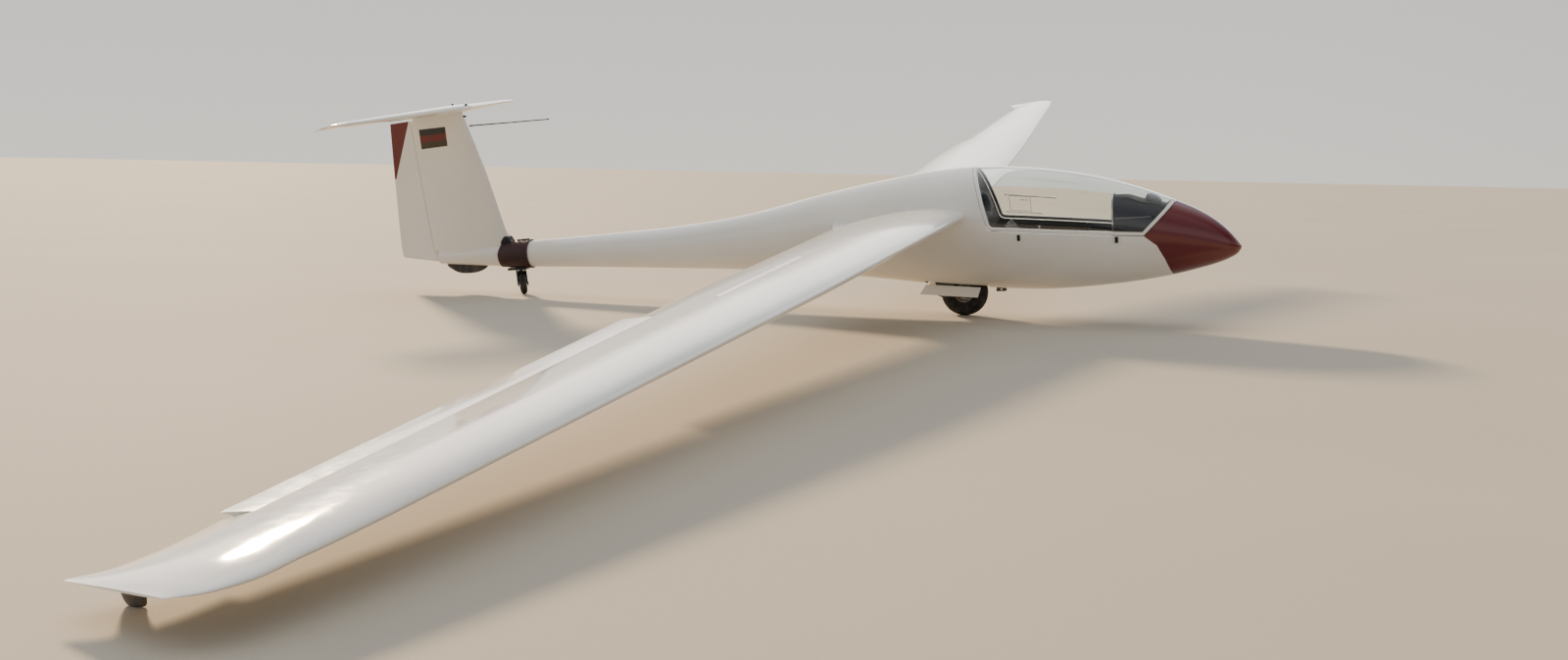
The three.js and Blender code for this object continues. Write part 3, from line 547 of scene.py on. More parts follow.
def fuselageAt(x):
    for a, b in zip(fuselageRows, fuselageRows[1:]):
        if b[0] <= x:
            share = (x - a[0]) / (b[0] - a[0])
            return [first + (second - first) * share for first, second in zip(a, b)]
    return fuselageRows[-1]


# The fuselage's outer shape moved inwards, or outwards with a negative inset.
# Sections that leave hardly any room inside are left out.
def fuselageLoft(inset=0.0, foremost=1900, rearmost=-5000, material=0):
    rings = []
    for x, top, bottom, wide, half in fuselageRows:
        if not rearmost <= x <= foremost or (inset > 0 and half - inset < fuselage["leastRoom"]):
            continue
        ring = []
        for i in range(fuselage["sides"]):
            angle = 2 * math.pi * i / fuselage["sides"]
            rise = top - wide if math.sin(angle) > 0 else wide - bottom
            width = max(half - inset, 0)
            height = max(rise - inset, 0)
            ring.append((x, width * math.cos(angle), wide + height * math.sin(angle)))
        rings.append(ring)
    return loft(rings, material)


# Half width of the fuselage at this x and z
def fuselageSide(x, z):
    _, top, bottom, wide, half = fuselageAt(x)
    rise = top - wide if z > wide else wide - bottom
    share = (z - wide) / rise
    return half * math.sqrt(max(1 - share * share, 0))


# Flying surfaces

# Half the thickness at share s of the chord, for a thickness of 1: round nose, sharp tail
def profileShape(s):
    return 5 * (0.2969 * math.sqrt(s) - 0.126 * s - 0.3516 * s ** 2 + 0.2843 * s ** 3 - 0.1026 * s ** 4)


# A section is nose, tail, thickness, camber. The ring starts at the trailing
# edge, and its half thickness is never under thinnest.
thinnest = 0.5


def profileRing(section, up, sides):
    nose, tail, thick, camber = section
    ring = []
    for i in range(sides):
        angle = 2 * math.pi * i / sides
        s = (1 + math.cos(angle)) / 2
        way = 0 if i in (0, sides // 2) else math.copysign(1, math.sin(angle))
        lift = max(profileShape(s) * thick, thinnest) * way + camber * 4 * s * (1 - s)
        ring.append(nose.lerp(tail, s) + up * lift)
    return ring


def sectionAt(sections, axis, value):
    i = max([k for k in range(len(sections) - 1) if sections[k][0][axis] <= value], default=0)
    a, b = sections[i], sections[i + 1]
    share = (value - a[0][axis]) / (b[0][axis] - a[0][axis])
    return [first + (second - first) * share for first, second in zip(a, b)]


def surfaceLoft(sections, up, sides=96):
    return loft([profileRing(section, up, sides) for section in sections])


def middleAndHalf(section, s, up):
    nose, tail, thick, camber = section
    return nose.lerp(tail, s) + up * (camber * 4 * s * (1 - s)), profileShape(s) * thick


# A hinged surface is cut from the fixed one behind its hinge line and turns on
# a round nose, whose radius is a share of the half thickness there. The gap is
# the air round that nose.
hingeCut = {"noseShare": 0.93, "reach": 420, "height": 400, "sides": 48}


def hingeLine(sections, axis, up, part):
    ends = [
        middleAndHalf(sectionAt(sections, axis, place), share, up)
        for place, share in zip((part["from"], part["to"]), part["shares"])
    ]
    radii = [half * hingeCut["noseShare"] for _, half in ends]
    return {"start": ends[0][0], "end": ends[1][0], "radii": radii, "up": up}


def splitAtHinge(whole, hinge, sweepEnd=None, gap=2.0):
    along = hinge["end"] - hinge["start"]
    length = along.length
    along.normalize()
    back = along.cross(hinge["up"]).normalized()
    if back.x > 0:
        back.negate()
    high = back.cross(along).normalized()
    place = Matrix.Translation(hinge["start"]) @ Matrix((back, along, high)).transposed().to_4x4()

    def behind(slack):
        size = (hingeCut["reach"], length + 2 * slack, hingeCut["height"])
        bm = block(size, (hingeCut["reach"] / 2, length / 2, 0))
        bm.transform(place)
        return bm

    def noseBar(radii, slack):
        bm = bar((0, -slack, 0), (0, length + slack, 0), *radii, hingeCut["sides"])
        bm.transform(place)
        return bm

    radii = hinge["radii"]
    swept = [radius / hingeCut["noseShare"] + gap for radius in (radii[0], sweepEnd or radii[1])]
    cutters = [behind(gap + 1), noseBar(swept, gap + 1)]
    moving = combined(combined(whole, behind(0), how="INTERSECT"), noseBar(radii, 0), how="UNION")
    return combined(whole, *cutters), cutters, moving, along


def turnAbout(bm, point, axis, degrees):
    twin = bm.copy()
    bmesh.ops.rotate(
        twin, verts=twin.verts, cent=point, matrix=Matrix.Rotation(math.radians(degrees), 3, axis),
    )
    return twin


# Wing, left: y of nose and tail, x of both, z, drop of the tail, thickness, camber
wing = {
    "straight": [
        (200, 200, 112, -860, 573, 38, 142, 20),
        (420, 420, 92, -838, 582, 36, 130, 20),
        (3500, 3500, 8, -776, 700, 27, 110, 18),
        (6900, 6900, -142, -622, 831, 17, 62, 11),
    ],
    "tip": [
        (6900, 6900, -142, -622, 831, 17, 62, 11),
        (7200, 7180, -165, -604, 843, 15, 52, 9),
        (7380, 7310, -190, -632, 849, 15, 38, 6),
        (7450, 7352, -236, -664, 851, 14, 22, 2),
        (7482, 7374, -312, -678, 850, 12, 6, 0),
    ],
    "rootY": 420.4,
    "bays": 40,
    "aileron": {"from": 4140, "to": 6920, "shares": (0.8, 0.795), "rightUp": 12, "leftDown": 9.6},
    "brake": {
        "from": 2560, "to": 3860, "x": -392, "blade": 8, "cap": 34, "capThick": 6, "sink": 0.6, "depth": 74,
        "bladeShorter": 20, "gap": 1.6, "openAbove": 60,
    },
}


def wingSection(row):
    y, yTail, noseX, tailX, z, drop, thick, camber = row
    return [Vector((noseX, y, z)), Vector((tailX, yTail, z - drop)), thick, camber]


wingSections = [wingSection(row) for row in wing["straight"]]
tipSections = [wingSection(row) for row in smoothRows(wing["tip"], 8)]
rootY, tipY = wing["rootY"], wing["tip"][0][0]
spanPlaces = [rootY + (tipY - rootY) * i / wing["bays"] for i in range(wing["bays"])]
wingWhole = surfaceLoft([sectionAt(wingSections, 1, y) for y in spanPlaces] + tipSections, upZ)


def wingTopAt(x, y):
    section = sectionAt(wingSections, 1, y)
    s = (section[0].x - x) / (section[0].x - section[1].x)
    middle, half = middleAndHalf(section, s, upZ)
    return middle.z + half


print("wing lofted")

# Fuselage skin: cockpit opening, wheel well, red nose
canopy = {
    "outline": [(240, 468), (1259, 366), (1882, 950), (110, 950)],
    "cornerRadii": [52, 22, 5, 5],
    "gap": 5,
    "rimWidth": 21,
    "rimDepth": 16,
    "glassOuter": 1.5,
    "glassDepth": 5,
}


# An outline moved inwards by a distance, its corners rounded to follow
def insetOutline(outline, radii, distance, steps=8, tightest=1.5):
    count = len(outline)
    points = []
    for i in range(count):
        before, here, after = (Vector(outline[(i + k) % count]) for k in (-1, 0, 1))
        into, out = (here - before).normalized(), (after - here).normalized()
        half = math.acos(max(-1, min(1, into.dot(out)))) / 2
        inward = (out - into).normalized()
        corner = here + inward * distance / math.cos(half)
        radius = max(radii[i] - distance, tightest)
        centre = corner + inward * radius / math.cos(half)
        turn = math.copysign(1, into.x * out.y - into.y * out.x)
        for step in range(steps + 1):
            swing = half * (2 * step / steps - 1) * turn
            points.append(tuple(centre + Matrix.Rotation(swing, 2) @ -inward * radius))
    return points


def canopyPrism(distance):
    return prism(insetOutline(canopy["outline"], canopy["cornerRadii"], distance), throughAll)


hull = fuselageLoft()
edgeLine = fuselage["redEdge"]
for start, end in zip(edgeLine, edgeLine[1:]):
    markLine(hull, start, end)
for face in hull.faces:
    centre = face.calc_center_median()
    for (xa, za), (xb, zb) in zip(edgeLine, edgeLine[1:]):
        if zb <= centre.z <= za and centre.x > xa + (xb - xa) * (centre.z - za) / (zb - za):
            face.material_index = 1
cockpitRoom = combined(
    fuselageLoft(fuselage["wall"], material=2),
    prism(fuselage["cockpit"], throughAll, 2),
    how="INTERSECT",
)
wheelBay = block(fuselage["wheelBay"]["size"], fuselage["wheelBay"]["centre"], 2)
hull = combined(hull, canopyPrism(0), cockpitRoom, wheelBay)

# Wing root fairing: the profile swells in a hollow curve onto the fuselage side
fairing = fuselage["fairing"]


def fairingShell():
    sides = 96
    root = profileRing(sectionAt(wingSections, 1, fairing["rootY"]), upZ, sides)
    rings = [root]
    for step in range(fairing["steps"] + 2):
        ring = []
        for i in range(sides):
            before, after = root[i - 1], root[(i + 1) % sides]
            away = Vector((after.z - before.z, 0, before.x - after.x)).normalized()
            topShare = max(math.sin(2 * math.pi * i / sides), 0)
            radius = fairing["radius"] + (fairing["topRadius"] - fairing["radius"]) * topShare
            angle = math.radians(90) * min(step / fairing["steps"], 1)
            offset = radius * (1 - math.cos(angle))
            reach = radius * (1 - math.sin(angle))
            here = root[i] + away * offset
            y = min(fuselageSide(here.x, here.z) + reach, fairing["rootY"] - 1)
            inner = profileRing(sectionAt(wingSections, 1, y), upZ, sides)[i] + away * offset
            sink = fairing["sunk"] if step > fairing["steps"] else 0
            y = min(fuselageSide(inner.x, inner.z) + reach, fairing["rootY"] - 1)
            ring.append(Vector((inner.x, y - sink, inner.z)))
        rings.append(ring)
    return loft(rings)


leftFairing = fairingShell()
hull = added(hull, mirrored(leftFairing), leftFairing)
makePiece("fuselageSkin", hull, [whiteGelcoat, redGelcoat, cockpitPaint], "airframe", ["fuselage_shell"])
print("fuselage made")

# Canopy frame, glass and the sliding window with its rails
window = {
    "outline": [(312, 519), (465, 501), (465, 613), (312, 633)],
    "rails": {
        "Top": [(285, 633), (649, 585), (649, 596), (285, 645)],
        "Bottom": [(278, 509), (539, 479), (539, 488), (278, 518)],
    },
    "cornerRadii": [8, 8, 8, 8],
    "gap": 0.4,
    "edge": 7,
    "railThick": 5,
    "handle": [(390, 593), (450, 588)],
    "handleIn": 9.4,
    "handleRadius": 3.2,
}
# Two latch knobs on the right edge of the canopy: start, end, radius at each, sides
latchBars = [
    ((586, -285, 448), (586, -276, 470), 4, 3.2, 20),
    ((586, -277, 468), (586, -276, 471), 5, 8.5, 24),
    ((586, -276, 471), (586, -274, 477), 8.5, 9, 24),
    ((586, -274, 477), (586, -273, 480), 9, 5, 24),
    ((989, -268, 402), (989, -259, 412), 3.5, 3.5, 16),
    ((989, -259, 412), (989, -257, 415), 6, 5.5, 20),
]


def cockpitLoft(inset, material=0):
    return fuselageLoft(inset, 1790, -300, material)


def windowPrism(outline):
    return prism(outline, throughAll)


def paneOutline(distance):
    return insetOutline(window["outline"], window["cornerRadii"], distance)


rimOuter, rimInner = canopyPrism(canopy["gap"]), canopyPrism(canopy["gap"] + canopy["rimWidth"])
frameSkin = combined(cockpitLoft(0), rimOuter, how="INTERSECT")
frameSkin = combined(frameSkin, rimInner, cockpitLoft(canopy["rimDepth"], 1))
makePiece("canopyRim", frameSkin, [whiteGelcoat, frameBlack], "canopy", ["canopy_frame"], sharp=25)

outerGlass, innerGlass = canopy["glassOuter"], canopy["glassOuter"] + canopy["glassDepth"]
leftHalf = block((2400, 500, 1200), (900, 250, 500))  # all of the cockpit left of the middle
paneHole = combined(windowPrism(window["outline"]), leftHalf, how="INTERSECT")
glassArea = canopyPrism(canopy["gap"] + canopy["rimWidth"] + window["gap"])
glassSkin = combined(cockpitLoft(outerGlass), glassArea, how="INTERSECT")
glassSkin = combined(glassSkin, cockpitLoft(innerGlass))
glazing = combined(glassSkin, paneHole)
makePiece("canopyGlazing", glazing, [clearAcrylic], "canopy", ["canopy_glass"])
pane = combined(glassSkin, windowPrism(paneOutline(window["gap"])), leftHalf, how="INTERSECT")
paneEdge = combined(pane, windowPrism(paneOutline(window["edge"])))
paneMiddle = combined(pane, windowPrism(paneOutline(window["edge"] + 0.02)), how="INTERSECT")
makePiece(
    "slidingWindow", added(paneMiddle, painted(paneEdge, 1)), [clearAcrylic, paleEdge], "canopy",
    ["vision_window"],
)
railOuter = innerGlass + window["gap"]
railSkin = combined(cockpitLoft(railOuter), cockpitLoft(railOuter + window["railThick"]))
for side, outline in window["rails"].items():
    rail = combined(railSkin, windowPrism(outline), leftHalf, how="INTERSECT")
    node = "vision_rail_" + side.lower()
    makePiece("windowRail" + side, rail, [paleEdge], "canopy", [node])
handleEnds = [(x, fuselageSide(x, z) - window["handleIn"], z) for x, z in window["handle"]]
handleBar = bar(*handleEnds, window["handleRadius"], sides=20)
makePiece("windowHandleBar", handleBar, [paleEdge], "canopy", bevel=0.8)
makePiece("canopyLatchKnobs", bars(latchBars), [silverTrim], "canopy", bevel=0.5)
roundedNodes([
    ("rear_canopy_hinge", "rearCanopyLug", blackPlastic, "black_plastic", 1.2),
    ("front_canopy_hinge", "frontCanopyLug", blackPlastic, "black_plastic", 1.2),
])
print("canopy made")

# Wings, ailerons and airbrakes
aileron = wing["aileron"]
aileronHinge = hingeLine(wingSections + tipSections[1:], 1, upZ, aileron)
brake = wing["brake"]
brakeSpan = brake["to"] - brake["from"]
brakeMiddle = (brake["from"] + brake["to"]) / 2
slope = (wingTopAt(brake["x"], brake["to"]) - wingTopAt(brake["x"], brake["from"])) / brakeSpan
brakePlace = (
    Matrix.Translation((brake["x"], brakeMiddle, wingTopAt(brake["x"], brakeMiddle)))
    @ Matrix.Rotation(math.atan(slope), 4, "X")
)


def brakeBlock(width, length, height, top):
    bm = block((width, length, height), (0, 0, top - height / 2))
    bm.transform(brakePlace)
    return bm


fixedWing, _, movingAileron, hingeAxis = splitAtHinge(wingWhole, aileronHinge)
gap = brake["gap"]
capDeep = brake["sink"] + brake["capThick"] + gap
fixedWing = combined(
    fixedWing,
    brakeBlock(brake["cap"] + 2 * gap, brakeSpan + 2 * gap, capDeep + brake["openAbove"], brake["openAbove"]),
    brakeBlock(brake["blade"] + 2 * gap, brakeSpan + 2 * gap, brake["depth"] + gap, -3),
)
airbrake = combined(
    brakeBlock(brake["cap"], brakeSpan, brake["capThick"], -brake["sink"]),
    brakeBlock(brake["blade"], brakeSpan - brake["bladeShorter"], brake["depth"] - 2, -2),
    how="UNION",
)
leftAileron = turnAbout(movingAileron, aileronHinge["start"], hingeAxis, -aileron["leftDown"])
raisedAileron = turnAbout(movingAileron, aileronHinge["start"], hingeAxis, aileron["rightUp"])
makePair("WingSkin", fixedWing, whiteGelcoat, "wing")
makePair("AileronSkin", leftAileron, whiteGelcoat, "aileron", body="aileron", right=mirrored(raisedAileron))
makePair("AirbrakeCap", airbrake, whiteGelcoat, "airbrake", body="airbrake", bevel=0.8)
print("wings made")

# Fin and rudder: z of nose and of tail, x of both, thickness
tail = {
    "fin": [
        (252, 468, -3400, -4470, 96),
        (480, 500, -3450, -4482, 98),
        (560, 560, -3500, -4482, 100),
        (640, 640, -3538, -4480, 98),
        (1100, 1100, -3638, -4450, 84),
        (1545, 1545, -3766, -4416, 68),
        (1590, 1590, -3779, -4412, 66),
    ],
    "tailplane": [
        (-1260, -4035, -4225, 8),
        (-1242, -3992, -4232, 20),
        (-1170, -3945, -4236, 34),
        (0, -3705, -4262, 69),
        (1170, -3945, -4236, 34),
        (1242, -3992, -4232, 20),
        (1260, -4035, -4225, 8),
    ],
    "height": 1592,
    "levelX": -4050,
    "tilt": math.tan(math.radians(1.2)),
    "droop": 12,
    "rudderHinge": {"from": 560, "to": 1538, "shares": (0.71, 0.714)},
    "rudderFoot": (-4174.7, 0, 428),  # the rudder's hinge line starts lower, inside the fuselage
    "rudderFootRadius": 30,
    "rudderGap": 4.2,
    "elevatorHinge": {"from": 60, "to": 1259, "shares": (0.7, 0.4)},
    "elevatorSweepEnd": 19,
    # Side views of what comes off the fin: inside the boom, behind the hinge, under the elevators
    "finCuts": [
        [(-4139, 200), (-3300, 200), (-3300, 455), (-4139, 455)],
        [(-4220, 200), (-4138, 200), (-4138, 518), (-4220, 518)],
        [(-4500, 1500), (-4202, 1500), (-4196, 1700), (-4500, 1700)],
    ],
    # Two studs on the tailplane: x, z, radius
    "studs": [(-3732, 1622, 9), (-3846, 1633, 6.5)],
    # Three-stripe panel on both sides of the fin; the gold stripe's colour is painted shade, gold darkened to
    # the tone it has in shade
    "panel": {"front": -3917.5, "rear": -4155.5, "top": (1468, 1473), "bottom": (1315, 1326)},
    "redCorner": [(-4432, 1107), (-4235, 1544)],
    # Everything below this clean cut comes off the rudder's foot
    "rudderFootCut": [(-4600, 300), (-4100, 300), (-4100, 425), (-4600, 493)],
}


def finSection(row):
    z, zTail, noseX, tailX, thick = row
    return [Vector((noseX, 0, z)), Vector((tailX, 0, zTail)), thick, 0]


finSections = [finSection(row) for row in tail["fin"]]
finWhole = surfaceLoft([finSection(row) for row in straightRows(tail["fin"], 8)], upY, 112)
rudderHinge = hingeLine(finSections, 2, upY, tail["rudderHinge"])
rudderHinge["start"] = Vector(tail["rudderFoot"])
rudderHinge["radii"][0] = tail["rudderFootRadius"]
fixedFin, _, rudder, _ = splitAtHinge(finWhole, rudderHinge, gap=tail["rudderGap"])


def tailSection(row):
    y, noseX, tailX, thick = row
    heights = [tail["height"] + (x - tail["levelX"]) * tail["tilt"] for x in (noseX, tailX)]
    return [Vector((noseX, y, heights[0])), Vector((tailX, y, heights[1])), thick, 0]


tailWhole = surfaceLoft([tailSection(row) for row in straightRows(tail["tailplane"], 10)], upZ, 88)
tailSections = [tailSection(row) for row in tail["tailplane"]]
elevatorHinge = hingeLine(tailSections, 1, upZ, tail["elevatorHinge"])
fixedTail, elevatorCutters, elevator, elevatorAxis = splitAtHinge(
    tailWhole, elevatorHinge, tail["elevatorSweepEnd"],
)
fixedTail = combined(fixedTail, *[mirrored(cutter) for cutter in elevatorCutters])
leftElevator = turnAbout(elevator, elevatorHinge["start"], elevatorAxis, -tail["droop"])

fixedFin = biggestIsland(combined(
    fixedFin,
    fuselageLoft(-jointGap, rearmost=-4300, foremost=-2900),
    *[prism(outline, throughAll) for outline in tail["finCuts"]],
    shifted(tailWhole, (0, 0, -jointGap)),
))

# Hollow fillet between the fin's foot and the boom, behind the dolly's band
foot = {
    "front": -3604, "rear": -4126, "steps": 24, "sides": 10,
    # It grows over the first steps, then fades to a share of its rise and spread at the rear
    "rise": 46, "spread": 34, "frontShare": 0.4, "rampSteps": 5, "rearShare": 0.25,
    "widest": 0.97, "sunk": 0.5, "under": (6, 14), "inside": 12,
}


def footFillet():
    rings = []
    for step in range(foot["steps"] + 1):
        x = foot["front"] + (foot["rear"] - foot["front"]) * step / foot["steps"]
        fade = min((step + foot["frontShare"]) / foot["rampSteps"], 1)
        fade *= 1 - (1 - foot["rearShare"]) * step / foot["steps"]
        _, top, bottom, wide, half = fuselageAt(x)
        section = sectionAt(finSections, 2, top)
        share = (section[0].x - x) / (section[0].x - section[1].x)
        thick = profileShape(share) * section[2]
        out = min(thick + foot["spread"] * fade, half * foot["widest"])

        def boomTop(y):
            return wide + (top - wide) * math.sqrt(1 - (y / half) ** 2)

        corner = Vector((x, thick - foot["sunk"], boomTop(thick)))
        high = corner + upZ * foot["rise"] * fade
        low = Vector((x, out, boomTop(out) - foot["sunk"]))
        places = [k / foot["sides"] for k in range(foot["sides"] + 1)]
        curve = [high.lerp(corner, t).lerp(corner.lerp(low, t), t) for t in places]
        under = Vector((x, out - foot["under"][0], boomTop(out) - foot["under"][1]))
        rings.append([*curve, under, Vector((x, thick - foot["inside"], corner.z))])
    return loft(rings)


panel = tail["panel"]
panelLines = []
for k in range(4):
    ends = [top + (bottom - top) * k / 3 for top, bottom in zip(panel["top"], panel["bottom"])]
    panelLines.append(ends)
    markLine(fixedFin, (panel["rear"], ends[0]), (panel["front"], ends[1]))
for x in (panel["rear"], panel["front"]):
    markLine(fixedFin, (x, 0), (x, 1))
for face in fixedFin.faces:
    centre = face.calc_center_median()
    share = (centre.x - panel["rear"]) / (panel["front"] - panel["rear"])
    if 0 < share < 1 and abs(centre.y) > 5:
        for k, (upper, lower) in enumerate(zip(panelLines, panelLines[1:])):
            if lower[0] + (lower[1] - lower[0]) * share < centre.z < upper[0] + (upper[1] - upper[0]) * share:
                face.material_index = k + 1
leftFillet = footFillet()
fixedFin = added(fixedFin, mirrored(leftFillet), leftFillet)
makePiece("finSkin", fixedFin, [whiteGelcoat, blackFilm, redFilm, shadedGoldFilm], "airframe", ["fin"])
rudder = combined(rudder, prism(tail["rudderFootCut"], throughAll))
markLine(rudder, *tail["redCorner"])
(cornerX, cornerZ), (cornerEndX, cornerEndZ) = tail["redCorner"]
for face in rudder.faces:
    centre = face.calc_center_median()
    edgeX = cornerX + (cornerEndX - cornerX) * (centre.z - cornerZ) / (cornerEndZ - cornerZ)
    if centre.z > cornerZ and centre.x < edgeX:
        face.material_index = 1
makePiece("rudderSkin", rudder, [whiteGelcoat, redFilm], "rudder_body", ["rudder"])
studs = bmesh.new()
for x, z, size in tail["studs"]:
    bmesh.ops.create_uvsphere(
        studs, u_segments=16, v_segments=8, radius=size,
        matrix=Matrix.Translation((x, 0, z)) @ Matrix.Diagonal((1.5, 1, 1.1, 1)),
    )
tailplane = added(fixedTail, painted(studs, 1))
makePiece("tailplaneSkin", tailplane, [whiteGelcoat, blackPlastic], "airframe", ["tailplane"])
makePair("ElevatorSkin", leftElevator, whiteGelcoat, "elevator", body="elevator")
print("tail made")

# Probe with its tip and its collar, its spare socket, skids and bumper
probe = bars([
    ((-3728, 0, 1462), (-3060, 0, 1459), 5, 4, 24),
    ((-3062, 0, 1459), (-3050, 0, 1459), 5, 5, 24),
    ((-3714, 0, 1462), (-3700, 0, 1462), 7, 6, 24, 1),
])
makePiece("energyProbe", probe, [blackSteel, blackPlastic], "airframe", ["total_energy_probe"])
roundedNodes([("fin_probe_socket", "probeSocket", blackPlastic, "black_plastic", 1.5)])


# Lowest point of a CAD node in the aircraft's own frame
def footOf(node):
    back = toFrame.inverted()
    return min((back @ vert.co).z for vert in frame["nodes"][node].data.vertices)


tipSkid = {
    "x": -577, "y": 7280, "sides": 48,
    # Height above its foot, half length, half width, how far back the ring sits
    "rings": [
        (0, 22, 7, 2), (5, 27, 10, 3), (16, 31, 12, 5), (34, 38, 15, 2), (54, 45, 18, -5), (100, 53, 22, -13),
    ],
}
skidBase = footOf("left_tip_skid")
skidAngles = [2 * math.pi * i / tipSkid["sides"] for i in range(tipSkid["sides"])]
skidBlock = loft([
    [
        (tipSkid["x"] - back + long * math.cos(a), tipSkid["y"] + wide * math.sin(a), skidBase + up)
        for a in skidAngles
    ]
    for up, long, wide, back in smoothRows(tipSkid["rings"], 6)
])
skidBlock = combined(skidBlock, wingWhole, shifted(wingWhole, (0, 0, -jointGap)))
makePair("TipSkidBlock", tidied(biggestIsland(skidBlock)), tipRubber, "tip_skid")
bumper = {
    "keel": [(-3752, 360), (-3790, 340), (-3900, 324), (-4000, 336), (-4080, 385)],
    "roof": [(-4080, 460), (-3752, 460)], "width": 44, "rounding": 9,
}
bumperBlock = prism(smoothRows(bumper["keel"], 8) + bumper["roof"], bumper["width"])
keelEdges = [
    edge for edge in bumperBlock.edges
    if abs(edge.verts[0].co.y - edge.verts[1].co.y) < 1 and max(vert.co.z for vert in edge.verts) < 400
]
roundedEdges(bumperBlock, keelEdges, bumper["rounding"])
bumperBlock = combined(bumperBlock, fuselageLoft(-jointGap))
makePiece("tailBumperBlock", bumperBlock, [skidRubber], "airframe", ["tail_bumper"])

# Main wheel: rounded tyre with four grooves, cast rim in two halves with bolts
wheel = {
    # The grooves are angles round the tyre's section, each this many degrees wide to either side
    "tyre": {"radius": 166, "half": 62, "rim": 66, "grooves": (-24, -8, 8, 24), "depth": 3, "width": 3.2},
    # Radius and Y round the rim's section
    "rim": [
        (15, -46), (34, -46), (38, -20), (56, -20), (58, -44), (65.6, -44),
        (65.6, 44), (58, 44), (56, 20), (38, 20), (34, 46), (15, 46),
    ],
    "bolts": {"count": 6, "circle": 47, "from": 19.5, "to": 27, "radius": 5.5},
    "axle": {"half": 90, "radius": 14.1, "sides": 32, "nutFrom": 85, "nutTo": 94, "nutRadius": 17},
}
beadShare = 0.62  # a tyre's half width at the rim, as a share of its widest


def tyreProfile(radius, half, rim, grooves, depth, width):
    crown = []
    for angle in range(-90, 91, 3):
        reach = half - (depth if any(abs(angle - groove) < width for groove in grooves) else 0)
        turn = math.radians(angle)
        crown.append((radius - half + reach * math.cos(turn), reach * math.sin(turn)))
    return [(rim, -half * beadShare), *crown, (rim, half * beadShare)]


tyre = turned(tyreProfile(**wheel["tyre"]), 96)
makePiece("mainTyreCover", tyre, [tyreRubber], "main_wheel", ["main_tyre"], sharp=40)
rim = turned(wheel["rim"], 72)
bolts = wheel["bolts"]
for side in (-1, 1):
    for k in range(bolts["count"]):
        angle = 2 * math.pi * k / bolts["count"]
        x, z = bolts["circle"] * math.cos(angle), bolts["circle"] * math.sin(angle)
        ends = [(x, side * y, z) for y in (bolts["from"], bolts["to"])]
        rim = added(rim, bar(*ends, bolts["radius"], sides=6, material=1))
makePiece("mainWheelRim", rim, [castAlloy, brightSteel], "main_wheel", ["main_wheel_rim"], bevel=0.8)
axle = axleWithNuts(**wheel["axle"])
makePiece("mainAxleBar", axle, [brightSteel], "airframe", ["main_axle"], bevel=0.8)
roundedNodes([
    ("left_gear_leg", "leftGearLegPlate", greySteel, "steel_grey", 1.5),
    ("left_gear_door", "leftGearDoorPanel", whiteGelcoat, "gelcoat_white", 1.2),
    ("right_gear_leg", "rightGearLegPlate", greySteel, "steel_grey", 1.5),
    ("right_gear_door", "rightGearDoorPanel", whiteGelcoat, "gelcoat_white", 1.2),
    ("tow_hook", "towHookBlock", greySteel, "steel_grey", 2),
])
print("undercarriage made")

# Tail dolly: two laminate half shells with a padded hump, saddle, fork, wheel
dolly = {
    "side": [(-3589, 340), (-3335, 340), (-3335, 600), (-3545, 600), (-3574, 540), (-3593, 470)],
    "hump": [(-3588, 470), (-3480, 470), (-3498, 560), (-3514, 596), (-3548, 599), (-3574, 564)],
    "humpWidth": 84,
    "humpRounding": 9,
    "thick": 9,
    "clear": 2,
    "splitGap": 1,
    # The slot for the fin is this much wider than the fin, and reaches this far ahead of it
    "finShare": 1.06,
    "finAhead": 3,
    "swivelX": -3458,
    "swivelTurn": -58,
    "trail": 45,
    "wheelHeight": 221.92,
    "tyre": {"radius": 80, "half": 25, "rim": 48, "grooves": (0,), "depth": 1.5, "width": 4},
    # Radius and Y round the hub's section
    "hub": [
        (6.5, -27), (16, -27), (18, -7), (44, -7), (47.6, -13),
        (47.6, 13), (44, 7), (18, 7), (16, 27), (6.5, 27),
    ],
    "axle": {"half": 44, "radius": 6, "sides": 24, "nutFrom": 39.6, "nutTo": 44, "nutRadius": 9},
}
shell = combined(
    fuselageLoft(-dolly["thick"] - dolly["clear"], -3100, -3900), prism(dolly["side"], throughAll),
    how="INTERSECT",
)
hump = prism(dolly["hump"], dolly["humpWidth"], 1)
humpEdges = [edge for edge in hump.edges if min(vert.co.z for vert in edge.verts) > 480]
roundedEdges(hump, humpEdges, dolly["humpRounding"])
shell = combined(shell, hump, how="UNION")
finAir = finWhole.copy()
bmesh.ops.scale(finAir, verts=finAir.verts, vec=(1, dolly["finShare"], 1))
finAhead = shifted(finWhole, (dolly["finAhead"], 0, 0))
shell = combined(shell, fuselageLoft(-dolly["clear"], -3000, -4000), finAir, finAhead)
for name, side in (("left", 1), ("right", -1)):
    halfRoom = block((400, 300, 500), (-3460, side * (150 + dolly["splitGap"]), 452))
    makePiece(
        name + "DollyShell", combined(shell, halfRoom, how="INTERSECT"), [maroonShell, blackPad], "airframe",
        ["dolly_clamp_" + name],
    )

